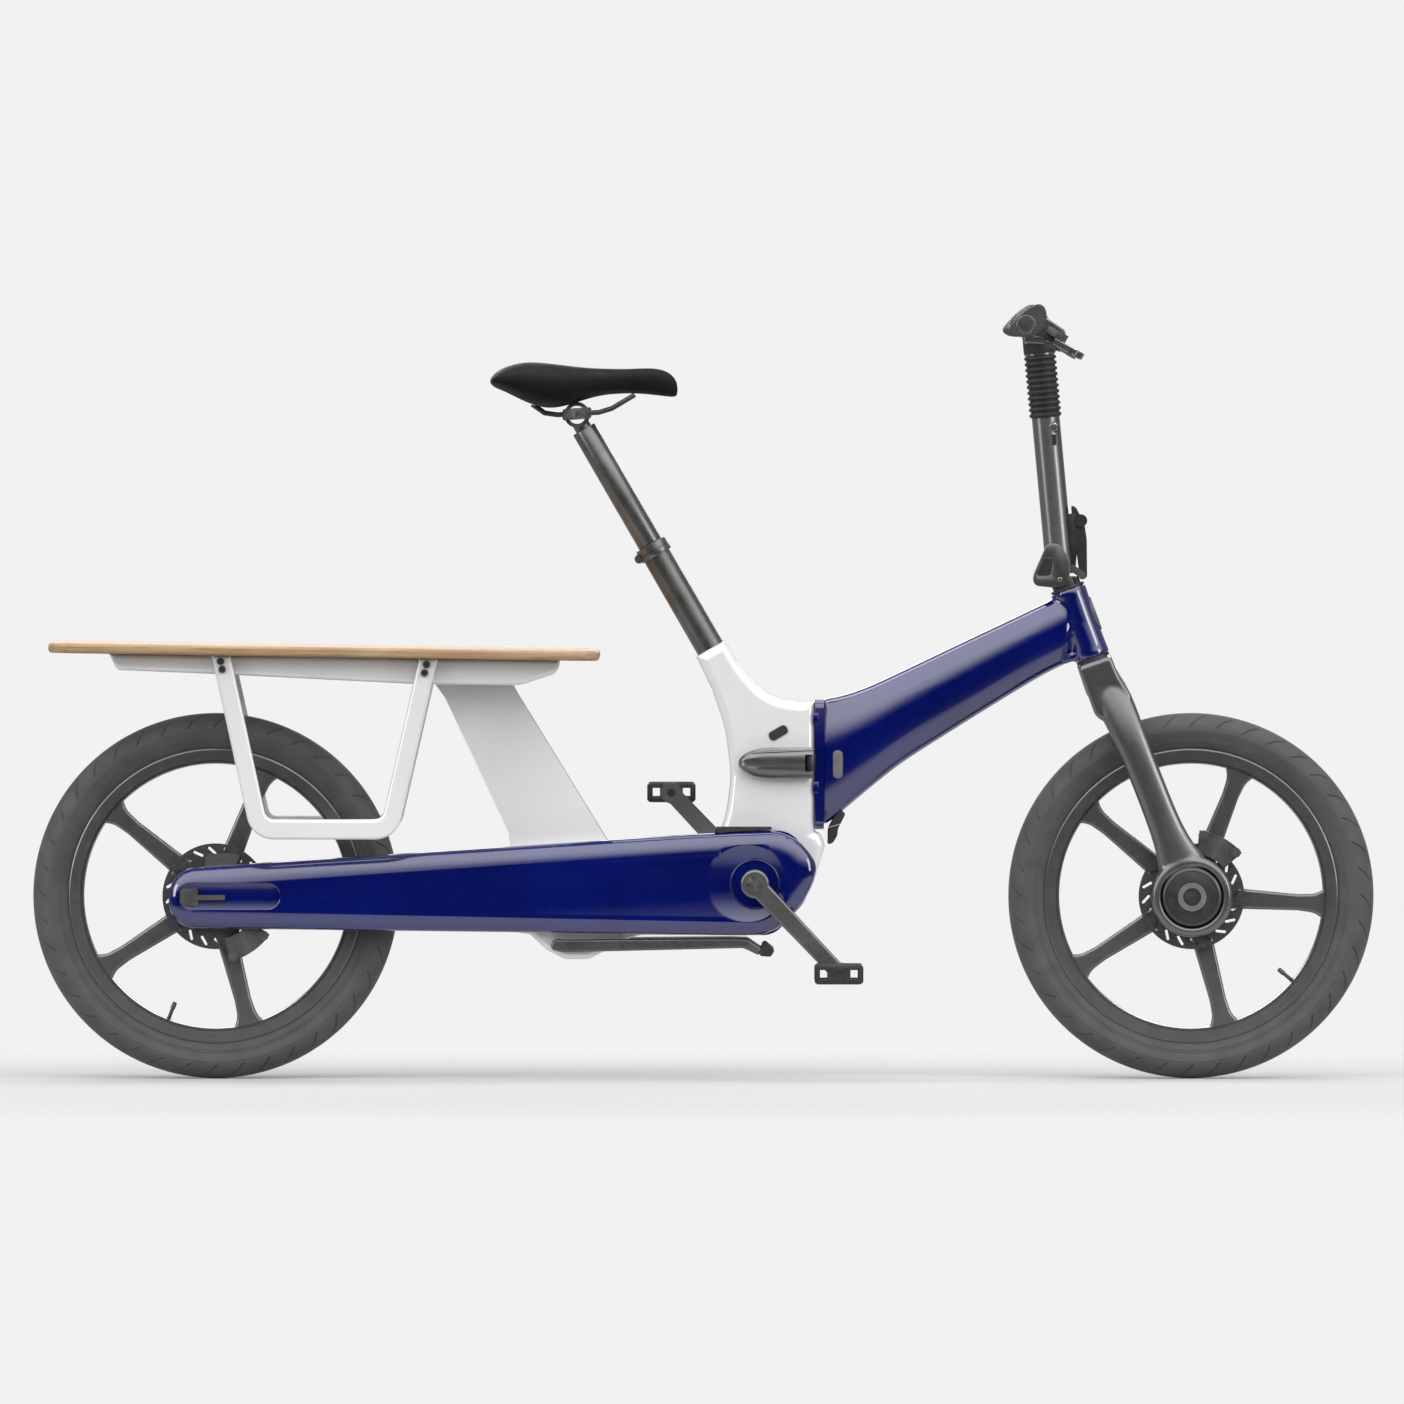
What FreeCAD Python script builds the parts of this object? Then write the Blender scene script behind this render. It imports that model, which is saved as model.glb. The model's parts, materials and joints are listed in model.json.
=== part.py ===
import FreeCAD, Part
import math
import os

# Long-tail folding cargo bicycle with a boxed-in chain, cast five-spoke wheels and a plank rack.
# Millimetres. +X is the way it rides, +Y is the rider's left, +Z is up; the origin is on the
# ground, midway between the two axles. The drive side is -Y.

# ---- driving dimensions ----------------------------------------------------------------------
WHEELBASE = 1365.0
TYRE_RADIUS = 256.0
SPOKES = 5
SPOKE_PHASE = -3.5

FRAME_HALF_WIDTH = 34.0
BEAM_TOP = ((-286.0, 323.5), (60.0, 346.0))
JOINT_X = 156.0
FOLD_AXIS_Y = 43.0

CRANK_X, CRANK_Z = 71.8, 274.4
CRANK_LENGTH = 170.0
CRANK_ANGLE = -46.6
ARM_INNER, ARM_OUTER = 84.0, 98.0

CASE_NEAR, CASE_SPLIT, CASE_FAR = -80.0, -58.0, -46.0
CHAIN_LINE = -62.0
CHAINRING_RADIUS, CHAINRING_TEETH = 52.0, 27
SPROCKET_RADIUS, SPROCKET_TEETH = 25.0, 13

SPINDLE_RADIUS = 12.0
AXLE_RADIUS = 8.0
RUNNING = 0.05

ROTOR_RADIUS, ROTOR_Y = 74.0, -38.0

HEAD_TOP = (509.9, 685.7)
HEAD_BOTTOM = (545.2, 588.4)
HEAD_RADIUS = 24.0

SEAT_MOUTH = (9.8, 602.4)
SEAT_TILT = 30.0
SEAT_CLAMP = (-177.0, 929.0)
LOWER_POST_RADIUS, UPPER_POST_RADIUS = 20.0, 17.3

STEM_PIVOT = (468.5, 698.0)
STEM_FOOT = (499.5, 706.0)
STEM_TOP = (479.0, 925.0)
STEM_RADIUS = 19.5
BAR_CENTRE = (447.0, 1055.0)
BAR_HALF_WIDTH = 300.0

DECK_REAR, DECK_FRONT = -914.0, -145.0
DECK_TOP_REAR, DECK_TOP_FRONT = 611.7, 600.2
DECK_HALF_WIDTH, DECK_THICKNESS = 140.0, 14.0
TRAY_HALF_WIDTH, GUARD_THICKNESS = 106.0, 18.0

KICKSTAND_PIVOT = (-203.0, 189.0)
KICKSTAND_HALF_TRACK = 53.0

LATCH_PIVOT = (149.5, -42.0)
STEM_LATCH_PIVOT = (531.0, 703.0)
AXLE_LEVER_PIVOT = (-729.0, -77.0)
LEVER_PIVOT = (497.0, 172.0, 1037.0)
LEVER_RAKE = 29.3

REAR_X, FRONT_X = -WHEELBASE / 2, WHEELBASE / 2
AXLE_Z = TYRE_RADIUS
V = FreeCAD.Vector
Y_AXIS = V(0, 1, 0)


# ---- helpers ---------------------------------------------------------------------------------
def at(point, y=0.0):
    """A point of the side view, (x, z), at depth y."""
    return V(point[0], y, point[1])


def polar(centre, radius, degrees):
    a = math.radians(degrees)
    return centre[0] + radius * math.cos(a), centre[1] + radius * math.sin(a)


def outline(points, radii, y):
    """A closed side-view outline at depth y whose corners are rounded by tangent arcs."""
    if not isinstance(radii, (list, tuple)):
        radii = [radii] * len(points)
    corners = [at(p, y) for p in points]
    count = len(corners)
    starts, ends, arcs = [], [], []
    for i, corner in enumerate(corners):
        to_last = (corners[i - 1] - corner)
        to_next = (corners[(i + 1) % count] - corner)
        room = 0.48 * min(to_last.Length, to_next.Length)
        turn = math.pi - to_last.getAngle(to_next)
        reach = min(radii[i] * math.tan(turn / 2), room)
        if reach < 0.05:
            starts.append(corner)
            ends.append(corner)
            arcs.append(None)
            continue
        radius = reach / math.tan(turn / 2)
        to_last.normalize()
        to_next.normalize()
        start, end = corner + to_last * reach, corner + to_next * reach
        middle_way = to_last + to_next
        middle_way.normalize()
        middle = corner + middle_way * (radius / math.cos(turn / 2) - radius)
        starts.append(start)
        ends.append(end)
        arcs.append(Part.Arc(start, middle, end).toShape())
    edges = []
    for i in range(count):
        if arcs[i] is not None:
            edges.append(arcs[i])
        following = (i + 1) % count
        if (starts[following] - ends[i]).Length > 0.01:
            edges.append(Part.LineSegment(ends[i], starts[following]).toShape())
    return Part.Wire(edges)


def soften(shape, radius, keep):
    """Fillets the edges for which keep(edge) is true."""
    edges = [edge for edge in shape.Edges if keep(edge)]
    return shape.makeFillet(radius, edges)


def plate(points, y0, y1, corner=0.0, rim=0.0, near=True, far=True):
    """A side-view outline carried from depth y0 to y1, with its rims rounded by rim."""
    wire = outline(points, corner, y0)
    solid = Part.Face(wire).extrude(V(0, y1 - y0, 0))
    if rim:
        depths = [y for y, wanted in ((y0, near), (y1, far)) if wanted]

        def on_rim(edge):
            box = edge.BoundBox
            return any(abs(box.YMin - y) < 0.01 and abs(box.YMax - y) < 0.01 for y in depths)

        solid = soften(solid, rim, on_rim)
    return solid


def rod(start, end, radius):
    """A round bar between two 3-D points."""
    way = end - start
    return Part.makeCylinder(radius, way.Length, start, way)


def disc(centre, radius, y0, y1):
    """A cylinder across the bicycle, centred on a side-view point."""
    return Part.makeCylinder(radius, y1 - y0, at(centre, y0), Y_AXIS)


def ring(centre, outer, inner, y0, y1):
    return disc(centre, outer, y0, y1).cut(disc(centre, inner, y0 - 1, y1 + 1))


def tube(start, end, outer, inner):
    return rod(start, end, outer).cut(rod(start - (end - start) * 0.01,
                                          end + (end - start) * 0.01, inner))


def block(low, high):
    return Part.makeBox(high[0] - low[0], high[1] - low[1], high[2] - low[2], V(*low))


def turned(centre, profile):
    """A body of revolution about the wheel axis; profile is a list of (radius, y)."""
    points = [V(centre[0] + r, y, centre[1]) for r, y in profile]
    wire = Part.makePolygon(points + points[:1])
    return Part.Face(wire).revolve(at(centre), Y_AXIS, 360)


def mirrored(shape):
    return shape.mirror(V(0, 0, 0), Y_AXIS)


def group(shapes):
    return Part.makeCompound(shapes)


def along(start, end, distance):
    """The side-view point a distance from start towards end."""
    length = math.hypot(end[0] - start[0], end[1] - start[1])
    return (start[0] + (end[0] - start[0]) * distance / length,
            start[1] + (end[1] - start[1]) * distance / length)


# ---- the rack --------------------------------------------------------------------------------
def deck_top(x):
    slope = (DECK_TOP_FRONT - DECK_TOP_REAR) / (DECK_FRONT - DECK_REAR)
    return DECK_TOP_REAR + slope * (x - DECK_REAR)


def deck_under(x):
    return deck_top(x) - DECK_THICKNESS


def rack_deck():
    """The wooden board: a rounded rectangle with rounded edges, tipped by under a degree."""
    length = DECK_FRONT - DECK_REAR
    board = Part.makeBox(length, 2 * DECK_HALF_WIDTH, DECK_THICKNESS,
                         V(DECK_REAR, -DECK_HALF_WIDTH, 0))
    board = soften(board, 38.0, lambda e: abs(e.BoundBox.ZLength - DECK_THICKNESS) < 0.01)
    board = soften(board, 5.0, lambda e: e.BoundBox.ZLength < 0.01)
    tip = math.degrees(math.atan2(DECK_TOP_REAR - DECK_TOP_FRONT, length))
    board.rotate(V(DECK_REAR, 0, 0), Y_AXIS, tip)
    board.translate(V(0, 0, deck_under(DECK_REAR)))
    return board


def rack_tray():
    """The white casting under the board, hollow above and closed by the board."""
    rear, front = -829.4, -200.6
    under = [(-817.9, 573.3), (-685.6, 568.0), (-409.1, 554.0), (-256.1, 551.9), (-204.0, 569.0)]
    outside = [(rear, deck_under(rear))] + under + [(front, deck_under(front))]
    casting = plate(outside, -TRAY_HALF_WIDTH, TRAY_HALF_WIDTH,
                    [0, 10, 300, 300, 60, 14, 0], rim=7.0)
    wall = 5.0
    hollow = [(rear + 12, deck_under(rear) + 20), (rear + 16, 573.3 + 2 * wall),
              (-409.1, 554.0 + 2 * wall), (-262.0, 551.9 + 2 * wall),
              (front - 16, deck_under(front) - wall), (front - 16, deck_under(front) + 20)]
    inside = plate(hollow, -TRAY_HALF_WIDTH + wall + 3, TRAY_HALF_WIDTH - wall - 3)
    above = block((rear - 60, -150, 0), (front + 60, 150, 60))
    tip = math.degrees(math.atan2(DECK_TOP_REAR - DECK_TOP_FRONT, DECK_FRONT - DECK_REAR))
    above.rotate(V(rear, 0, 0), Y_AXIS, tip)
    above.translate(V(0, 0, deck_under(rear)))
    return casting.cut(inside).cut(above)


def beam_top(x):
    """The height of the lower beam's top face."""
    (x0, z0), (x1, z1) = BEAM_TOP
    return z0 + (z1 - z0) * (x - x0) / (x1 - x0)


def rack_strut():
    """The raked white strut that carries the rack on the lower beam: a box open at its ends."""
    strut = plate([(-376, 553.54), (-361, 533), (-272.5, 345), (-270.5, beam_top(-270.5)),
                   (-134, beam_top(-134)), (-261, 541), (-266.5, 552.04)],
                  -27, 27, [0, 14, 20, 0, 0, 14, 0])
    inside = plate([(-370, 570), (-355, 536), (-266.5, 347), (-265, 320), (-143, 320),
                    (-267, 538), (-272, 570)], -23, 23)
    return strut.cut(inside)


def side_guard(side):
    """A white loop beside the rear wheel, that keeps bags out of the spokes."""
    inner = side * (TRAY_HALF_WIDTH + GUARD_THICKNESS)
    y0, y1 = min(side * TRAY_HALF_WIDTH, inner), max(side * TRAY_HALF_WIDTH, inner)
    top = {x: deck_under(x) - 0.02 for x in (-686, -370, -396.6, -659.4)}
    points = [(-686, top[-686]), (-629.9, 337.5), (-427.9, 337), (-370, top[-370]),
              (-396.6, top[-396.6]), (-448, 365.5), (-609.5, 365.5), (-659.4, top[-659.4])]
    return plate(points, y0, y1, [0, 38, 38, 0, 0, 14, 14, 0], rim=5.0)


def guard_bolts():
    heads = []
    for x, z in ((-673.1, 586.0), (-670.9, 574.8), (-386.1, 581.4), (-388.9, 569.9)):
        y0 = TRAY_HALF_WIDTH + GUARD_THICKNESS
        head = disc((x, z), 5.2, y0, y0 + 3.0)
        head = head.cut(disc((x, z), 2.2, y0 + 1.5, y0 + 4.0))
        heads += [head, mirrored(head)]
    return group(heads)


# ---- the rear frame --------------------------------------------------------------------------
def lower_beam():
    """The box beam behind the chain case, with the keel that carries the stand."""
    beam = [BEAM_TOP[0], (-262, 205), (-243, 203), (-219, 181), (-194, 168), (-160, 168),
            (-95, 202), (60, 201), BEAM_TOP[1]]
    return plate(beam, CASE_FAR, FRAME_HALF_WIDTH, [9, 10, 0, 0, 20, 20, 60, 0, 0], rim=7.0)


def seat_column_body():
    """The tall white casting: seat tube, pedal axle housing and the frame joint in one."""
    edge = [(-10.4, 591.2), (12.7, 544), (30.9, 489.4), (38.9, 424.9), (30.9, 359.4), (-6, 290),
            (0, 202), (86, 201), (134, 237), (154, 274), (170, 327), (164, 342), (JOINT_X, 346.5),
            (JOINT_X, 528), (134, 527.2), (102, 531.6), (77, 547.7), (52.1, 576.2), (30, 613.6)]
    radii = [0, 0, 160, 160, 160, 60, 20, 45, 45, 90, 14, 6, 0,
             0, 0, 60, 60, 120, 0]
    return plate(edge, -FRAME_HALF_WIDTH, FRAME_HALF_WIDTH, radii, rim=13.0)


def frame_hollows():
    """The cored-out spaces of the casting, clear of the seat tube and the pedal axle."""
    beam = plate([(-274, 316), (-252, 214), (-110, 209), (18, 208), (18, 334)],
                 CASE_FAR + 6, FRAME_HALF_WIDTH - 6, 12)
    foot = plate([(26, 209), (84, 209), (126, 242), (146, 277), (160, 325), (150, 350),
                  (38, 350), (8, 292), (26, 250)], -FRAME_HALF_WIDTH + 6,
                 FRAME_HALF_WIDTH - 6, 12)
    foot = foot.cut(disc((CRANK_X, CRANK_Z), 27.0, -60, 60))
    joint = plate([(50, 362), (148, 362), (148, 518), (100, 522), (52, 546), (34, 560),
                   (48, 490), (50, 424)], -FRAME_HALF_WIDTH + 6, FRAME_HALF_WIDTH - 6, 8)
    joint = joint.cut(rod(at(seat_axis(-250)), at(seat_axis(20)), LOWER_POST_RADIUS + 8.0))
    return [beam, foot] + joint.Solids


def seat_axis(distance):
    """The side-view point that lies a distance up the seat tube from its mouth."""
    a = math.radians(SEAT_TILT)
    return SEAT_MOUTH[0] - distance * math.sin(a), SEAT_MOUTH[1] + distance * math.cos(a)


def main_frame():
    frame = seat_column_body().fuse(lower_beam()).removeSplitter()
    above_mouth = block((-80, -60, 0), (80, 60, 90))
    above_mouth.rotate(V(0, 0, 0), Y_AXIS, -SEAT_TILT)
    above_mouth.translate(at(SEAT_MOUTH))
    frame = frame.cut(above_mouth)
    frame = frame.cut(rod(at(seat_axis(-218)), at(seat_axis(20)), LOWER_POST_RADIUS + 2.0))
    frame = frame.cut(disc((CRANK_X, CRANK_Z), 20.0, -60, 60))
    frame = frame.cut(disc(KICKSTAND_PIVOT, 7.0 + RUNNING, -60, 60))
    for hollow in frame_hollows():
        frame = frame.cut(hollow)
    return frame.fuse(latch_knuckle()).removeSplitter()


def latch_knuckle():
    """The fixed knuckle and pin that the joint's lever turns on."""
    low, high = 431.5, 453.5
    x, y = LATCH_PIVOT
    knuckle = Part.makeCylinder(6.0, high - low, V(x, y, low))
    knuckle = knuckle.fuse(block((x - 4, y, low), (x + 4, -FRAME_HALF_WIDTH + 1, high)))
    return knuckle.fuse(Part.makeCylinder(2.5, 38, V(x, y, 423.5)))


def seat_bush():
    """The plastic sleeve between the seat tube and the lower post."""
    return tube(at(seat_axis(-90)), at(seat_axis(0)), LOWER_POST_RADIUS + 2.0,
                LOWER_POST_RADIUS + RUNNING)


def frame_rubber_trim():
    """The seat tube bush, the case's seal strip and the cable port's grommet."""
    seal = plate([(15, 345.4), (95, 350.2), (95, 353.5), (18, 353.5)], CASE_NEAR + 12,
                 -FRAME_HALF_WIDTH + 2, 1.0)
    seal = seal.cut(drive_case_solid()).cut(seat_column_body())
    port = plate([polar((104.7, 484.5), 15.5, a) for a in (5, 55, 185, 235)],
                 -FRAME_HALF_WIDTH - 1.5, -FRAME_HALF_WIDTH, 5.5)
    return group([seat_bush(), seal, port])


def fold_hinge_rear():
    """The two fixed knuckles of the frame's fold, with the steel pin through them."""
    pieces = []
    for low, high in ((380.0, 411.0), (463.0, 494.0)):
        barrel = Part.makeCylinder(8.0, high - low, V(JOINT_X, FOLD_AXIS_Y, low))
        barrel = barrel.cut(Part.makeCylinder(3.5, high - low, V(JOINT_X, FOLD_AXIS_Y, low)))
        leaf = block((120, FRAME_HALF_WIDTH, low), (JOINT_X - 4, FRAME_HALF_WIDTH + 5, high))
        pieces.append(barrel.fuse(leaf).removeSplitter())
    pieces.append(Part.makeCylinder(3.5, 118, V(JOINT_X, FOLD_AXIS_Y, 378)))
    return group(pieces)


# ---- the boxed chain drive -------------------------------------------------------------------
def case_outline(inset):
    """The chain case's outline, drawn in by inset."""
    return [(-747 + inset, 212.3 + inset), (-747 + inset, 294.5 - inset),
            (14 - inset * 0.2, 345.1 - inset), (120 - inset, 349 - inset),
            (161 - inset, 300), (140 - inset, 246), (98 - inset * 0.6, 202 + inset)]


CASE_CORNERS = [41, 41, 150, 38, 26, 60, 34]


def drive_case_solid():
    return plate(case_outline(0), CASE_NEAR, CASE_FAR, CASE_CORNERS, rim=11.0, far=False)


def case_hollow():
    inset = 7.0
    corners = [max(r - inset, 4) for r in CASE_CORNERS]
    return plate(case_outline(inset), CASE_NEAR + 10, CASE_FAR - 4, corners)


def case_half(y0, y1):
    shell = drive_case_solid().cut(case_hollow())
    half = shell.common(block((-800, y0, 150), (200, y1, 400)))
    half = half.cut(disc((CRANK_X, CRANK_Z), SPINDLE_RADIUS + 2.5, -90, -40))
    return half


def drive_case_cover():
    """The blue cover on the drive side: a shallow dish round the crank and a long pocket
    over the rear axle."""
    cover = case_half(CASE_NEAR, CASE_SPLIT)
    dish_depth, dish_radius = 5.0, 56.0
    ball = (dish_radius ** 2 + dish_depth ** 2) / (2 * dish_depth)
    cover = cover.cut(disc((REAR_X, AXLE_Z), AXLE_RADIUS, -90, -40))
    cover = cover.cut(Part.makeSphere(ball, V(61, CASE_NEAR + dish_depth - ball, 275)))
    cover = cover.cut(disc((CRANK_X, CRANK_Z), 34.0, -95, CASE_NEAR + 8.0))
    pocket = plate([(-735, 237), (-735, 276), (-591, 276), (-591, 237)], -90, CASE_NEAR + 6.0, 19)
    pin = Part.makeCylinder(1.5, 34, V(AXLE_LEVER_PIVOT[0], AXLE_LEVER_PIVOT[1], 239.5))
    return cover.cut(pocket).fuse(pin).removeSplitter()


def drive_case_back():
    """The inner half of the case. The rear axle is held in it."""
    return case_half(CASE_SPLIT, CASE_FAR).cut(disc((REAR_X, AXLE_Z), 15.0, -60, -40))


def rear_axle():
    """The rear axle, fixed in the case at the drive side only."""
    return disc((REAR_X, AXLE_Z), AXLE_RADIUS, CASE_NEAR + 6, 33)


def drive_chain():
    """A chain run round both wheels: two rows of side plates drawn as bands, with pins."""
    crank, rear = (CRANK_X, CRANK_Z), (REAR_X, AXLE_Z)
    gap = 2.6
    bands = []
    way = math.degrees(math.atan2(rear[1] - crank[1], rear[0] - crank[0]))
    distance = math.hypot(rear[0] - crank[0], rear[1] - crank[1])
    spread = math.degrees(math.acos((CHAINRING_RADIUS - SPROCKET_RADIUS) / distance))
    a, b = way + spread, way - spread
    for low in (CHAIN_LINE - gap - 1.2, CHAIN_LINE + gap):
        sizes = []
        for grow in (5.0, 1.0):
            r_crank, r_rear = CHAINRING_RADIUS + grow, SPROCKET_RADIUS + grow
            straight = Part.makePolygon([at(polar(crank, r_crank, a), low),
                                         at(polar(rear, r_rear, a), low),
                                         at(polar(rear, r_rear, b), low),
                                         at(polar(crank, r_crank, b), low),
                                         at(polar(crank, r_crank, a), low)])
            middle = Part.Face(straight).extrude(V(0, 1.2, 0))
            whole = middle.fuse(disc(crank, r_crank, low, low + 1.2))
            sizes.append(whole.fuse(disc(rear, r_rear, low, low + 1.2)))
        bands.append(sizes[0].cut(sizes[1]))
    pins = []
    pitch = 12.7
    r_pin = 3.0
    for angle in (a, b):
        start = polar(crank, CHAINRING_RADIUS + r_pin, angle)
        end = polar(rear, SPROCKET_RADIUS + r_pin, angle)
        run = math.hypot(end[0] - start[0], end[1] - start[1])
        for i in range(int(run / pitch)):
            pins.append(disc(along(start, end, i * pitch + 3), 1.6, CHAIN_LINE - gap,
                             CHAIN_LINE + gap))
    return group(bands + pins)


def toothed(centre, radius, teeth, bore):
    """A thin toothed wheel on the chain line."""
    wheel = disc(centre, radius, CHAIN_LINE - 1.0, CHAIN_LINE + 1.0)
    for i in range(teeth):
        notch = polar(centre, radius + 1.2, 360.0 * i / teeth)
        wheel = wheel.cut(disc(notch, 3.0, CHAIN_LINE - 2, CHAIN_LINE + 2))
    return wheel.cut(disc(centre, bore, CHAIN_LINE - 2, CHAIN_LINE + 2))


def chainring():
    wheel = toothed((CRANK_X, CRANK_Z), CHAINRING_RADIUS, CHAINRING_TEETH, SPINDLE_RADIUS)
    for i in range(SPOKES):
        hole = polar((CRANK_X, CRANK_Z), 31.0, 72.0 * i)
        wheel = wheel.cut(disc(hole, 11.0, -70, -50))
    return wheel


def rear_sprocket():
    """The sprocket and the driver sleeve that carries it on the axle, up to the hub."""
    centre = (REAR_X, AXLE_Z)
    wheel = toothed(centre, SPROCKET_RADIUS, SPROCKET_TEETH, AXLE_RADIUS + RUNNING)
    sleeve = ring(centre, 13.0, AXLE_RADIUS + RUNNING, CHAIN_LINE - 2, -30.6)
    return wheel.fuse(sleeve).removeSplitter()


def bottom_bracket_bearings():
    centre = (CRANK_X, CRANK_Z)
    return group([ring(centre, 20.0, SPINDLE_RADIUS + RUNNING, -44, -33),
                  ring(centre, 20.0, SPINDLE_RADIUS + RUNNING, 23, 34)])


def crank_spindle():
    """The pedal axle with a bolt at each end."""
    centre = (CRANK_X, CRANK_Z)
    spindle = disc(centre, SPINDLE_RADIUS, -ARM_OUTER + 3, ARM_OUTER - 3)
    bolt = disc(centre, 11.0, -ARM_OUTER - 2.5, -ARM_OUTER + 3)
    bolt = bolt.cut(disc(centre, 4.0, -ARM_OUTER - 3, -ARM_OUTER + 1))
    return spindle.fuse(bolt).fuse(mirrored(bolt)).removeSplitter()


def pedal_point(side):
    """Where a pedal's axle stands: the right arm points down and forward at rest."""
    angle = CRANK_ANGLE if side < 0 else CRANK_ANGLE + 180
    return polar((CRANK_X, CRANK_Z), CRANK_LENGTH, angle)


def crank_arm(side):
    centre, tip = (CRANK_X, CRANK_Z), pedal_point(side)
    arm = disc(centre, 20.0, -ARM_OUTER, -ARM_INNER)
    arm = arm.fuse(disc(tip, 15.0, -ARM_OUTER, -ARM_INNER))
    across = math.radians((CRANK_ANGLE if side < 0 else CRANK_ANGLE + 180) + 90)
    wide, narrow = 13.5, 11.5
    corners = []
    for point, half in ((centre, wide), (tip, narrow), (tip, -narrow), (centre, -wide)):
        corners.append((point[0] + half * math.cos(across), point[1] + half * math.sin(across)))
    arm = arm.fuse(plate(corners, -ARM_OUTER, -ARM_INNER)).removeSplitter()

    def on_rim(edge):
        box = edge.BoundBox
        return box.YLength < 0.01 and abs(box.YMin + ARM_OUTER) < 0.01

    arm = soften(arm, 3.5, on_rim)
    arm = arm.cut(disc(centre, SPINDLE_RADIUS, -ARM_OUTER + 3, -ARM_INNER + 1))
    arm = arm.cut(disc(centre, 11.0, -ARM_OUTER - 3, -ARM_OUTER + 4))
    arm = arm.cut(disc(tip, 6.0 + RUNNING, -ARM_OUTER - 3, -ARM_INNER + 1))
    return arm if side < 0 else mirrored(arm)


def pedal(side):
    """A flat pedal: a cage round a centre barrel, with the axle that turns in the arm."""
    x, z = pedal_point(side)
    near, far = ARM_OUTER + 5, ARM_OUTER + 97
    half, thick = 34.3, 14.0
    cage = block((x - half, near, z - thick), (x + half, far, z + thick))
    cage = soften(cage, 5.0, lambda e: abs(e.BoundBox.ZLength - 2 * thick) < 0.01)
    for x0, x1 in ((x - half + 7, x - 13), (x + 13, x + half - 7)):
        cage = cage.cut(block((x0, near + 8, z - 20), (x1, far - 8, z + 20)))
    for y0 in (near + 14, near + 54):
        groove = block((x - half - 1, y0, z - 6), (x - half + 4, y0 + 26, z + 6))
        cage = cage.cut(groove).cut(groove.translated(V(2 * half - 3, 0, 0)))
    axle = disc((x, z), 6.0, ARM_INNER + 2, near + 10)
    collar = disc((x, z), 9.0, ARM_OUTER + 0.6, near + 2)
    body = cage.fuse(axle).fuse(collar).removeSplitter()
    return body if side > 0 else mirrored(body)


# ---- wheels ----------------------------------------------------------------------------------
def tyre(x):
    """A road tyre, open inside towards the rim."""
    shoulder = [(232.0, 26.8), (243.0, 23.6), (251.0, 15.0)]
    outer = [(206.4, 11.6), (206.4, 15.4), (214.0, 21.5)] + shoulder + [(256.0, 5.0)]
    inner = [(251.0, 4.0), (247.0, 10.0), (240.0, 18.0), (230.0, 21.0), (215.0, 15.0),
             (199.0, 8.5), (197.5, 10.8)]
    ring_profile = outer + [(r, -y) for r, y in reversed(outer)]
    ring_profile += [(r, -y) for r, y in reversed(inner)] + inner
    return turned((x, AXLE_Z), ring_profile)


def rim_profile():
    half = [(190.0, 15.0), (204.0, 15.4), (206.2, 14.4), (206.2, 11.7), (197.2, 11.2),
            (195.0, 7.0)]
    inner = [(184.5, 5.0), (186.0, 11.0)]
    return half + [(r, -y) for r, y in reversed(half)] + [(r, -y) for r, y in reversed(inner)] \
        + inner


def spoke(centre, angle):
    """One flat blade that swells where it meets the hub and the rim."""
    sides = [(30, 21), (52, 15.5), (80, 14), (150, 11.5), (174, 13.5), (190, 24)]
    points = sides + [(u, -v) for u, v in reversed(sides)]
    a = math.radians(angle)
    turned_points = [(centre[0] + u * math.cos(a) - v * math.sin(a),
                      centre[1] + u * math.sin(a) + v * math.cos(a)) for u, v in points]
    radii = [0, 40, 60, 60, 30, 0]
    return plate(turned_points, -11, 11, radii + radii[::-1], rim=4.0)


def cast_wheel(x, hub_radius, shell):
    """The cast wheel: rim, five blades and a hollow hub with a bore at each end."""
    centre = (x, AXLE_Z)
    wheel = turned(centre, rim_profile())
    for i in range(SPOKES):
        blade = spoke(centre, SPOKE_PHASE + 72.0 * i)
        wheel = wheel.fuse(blade.common(disc(centre, 187.0, -20, 20)))
    wheel = wheel.fuse(disc(centre, hub_radius, -30, 30)).removeSplitter()
    wheel = wheel.fuse(disc(centre, 30.0, -37, -29)).removeSplitter()
    wheel = wheel.cut(disc(centre, shell, -24, 24))
    wheel = wheel.cut(disc(centre, 15.0, -40, -30.2))
    return wheel.cut(disc(centre, AXLE_RADIUS + RUNNING, -40, 34))


def rotor(x):
    """The brake disc, with a row of slanted slots and a bored carrier."""
    centre = (x, AXLE_Z)
    plate_ring = ring(centre, ROTOR_RADIUS, 18.0, ROTOR_Y - 1, ROTOR_Y + 1)
    for i in range(20):
        a = 18.0 * i
        low, high = polar(centre, 60.0, a), polar(centre, 68.0, a + 7)
        slot = rod(at(low, ROTOR_Y - 3), at(low, ROTOR_Y + 3), 1.8)
        slot = slot.fuse(rod(at(high, ROTOR_Y - 3), at(high, ROTOR_Y + 3), 1.8))
        way = math.degrees(math.atan2(high[1] - low[1], high[0] - low[0]))
        bar = [polar(p, 1.8, way + s) for p, s in ((low, 90), (high, 90), (high, -90), (low, -90))]
        plate_ring = plate_ring.cut(slot).cut(plate(bar, ROTOR_Y - 3, ROTOR_Y + 3))
    return plate_ring


# ---- brakes ----------------------------------------------------------------------------------
def sector(centre, inner, outer, start, end, y0, y1):
    """A ring sector between two angles."""
    arc = ring(centre, outer, inner, y0, y1)
    reach = outer * 2
    middle = (start + end) / 2
    wedge = [centre, polar(centre, reach, start), polar(centre, reach, middle),
             polar(centre, reach, end)]
    return arc.common(plate(wedge, y0 - 1, y1 + 1))


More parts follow.
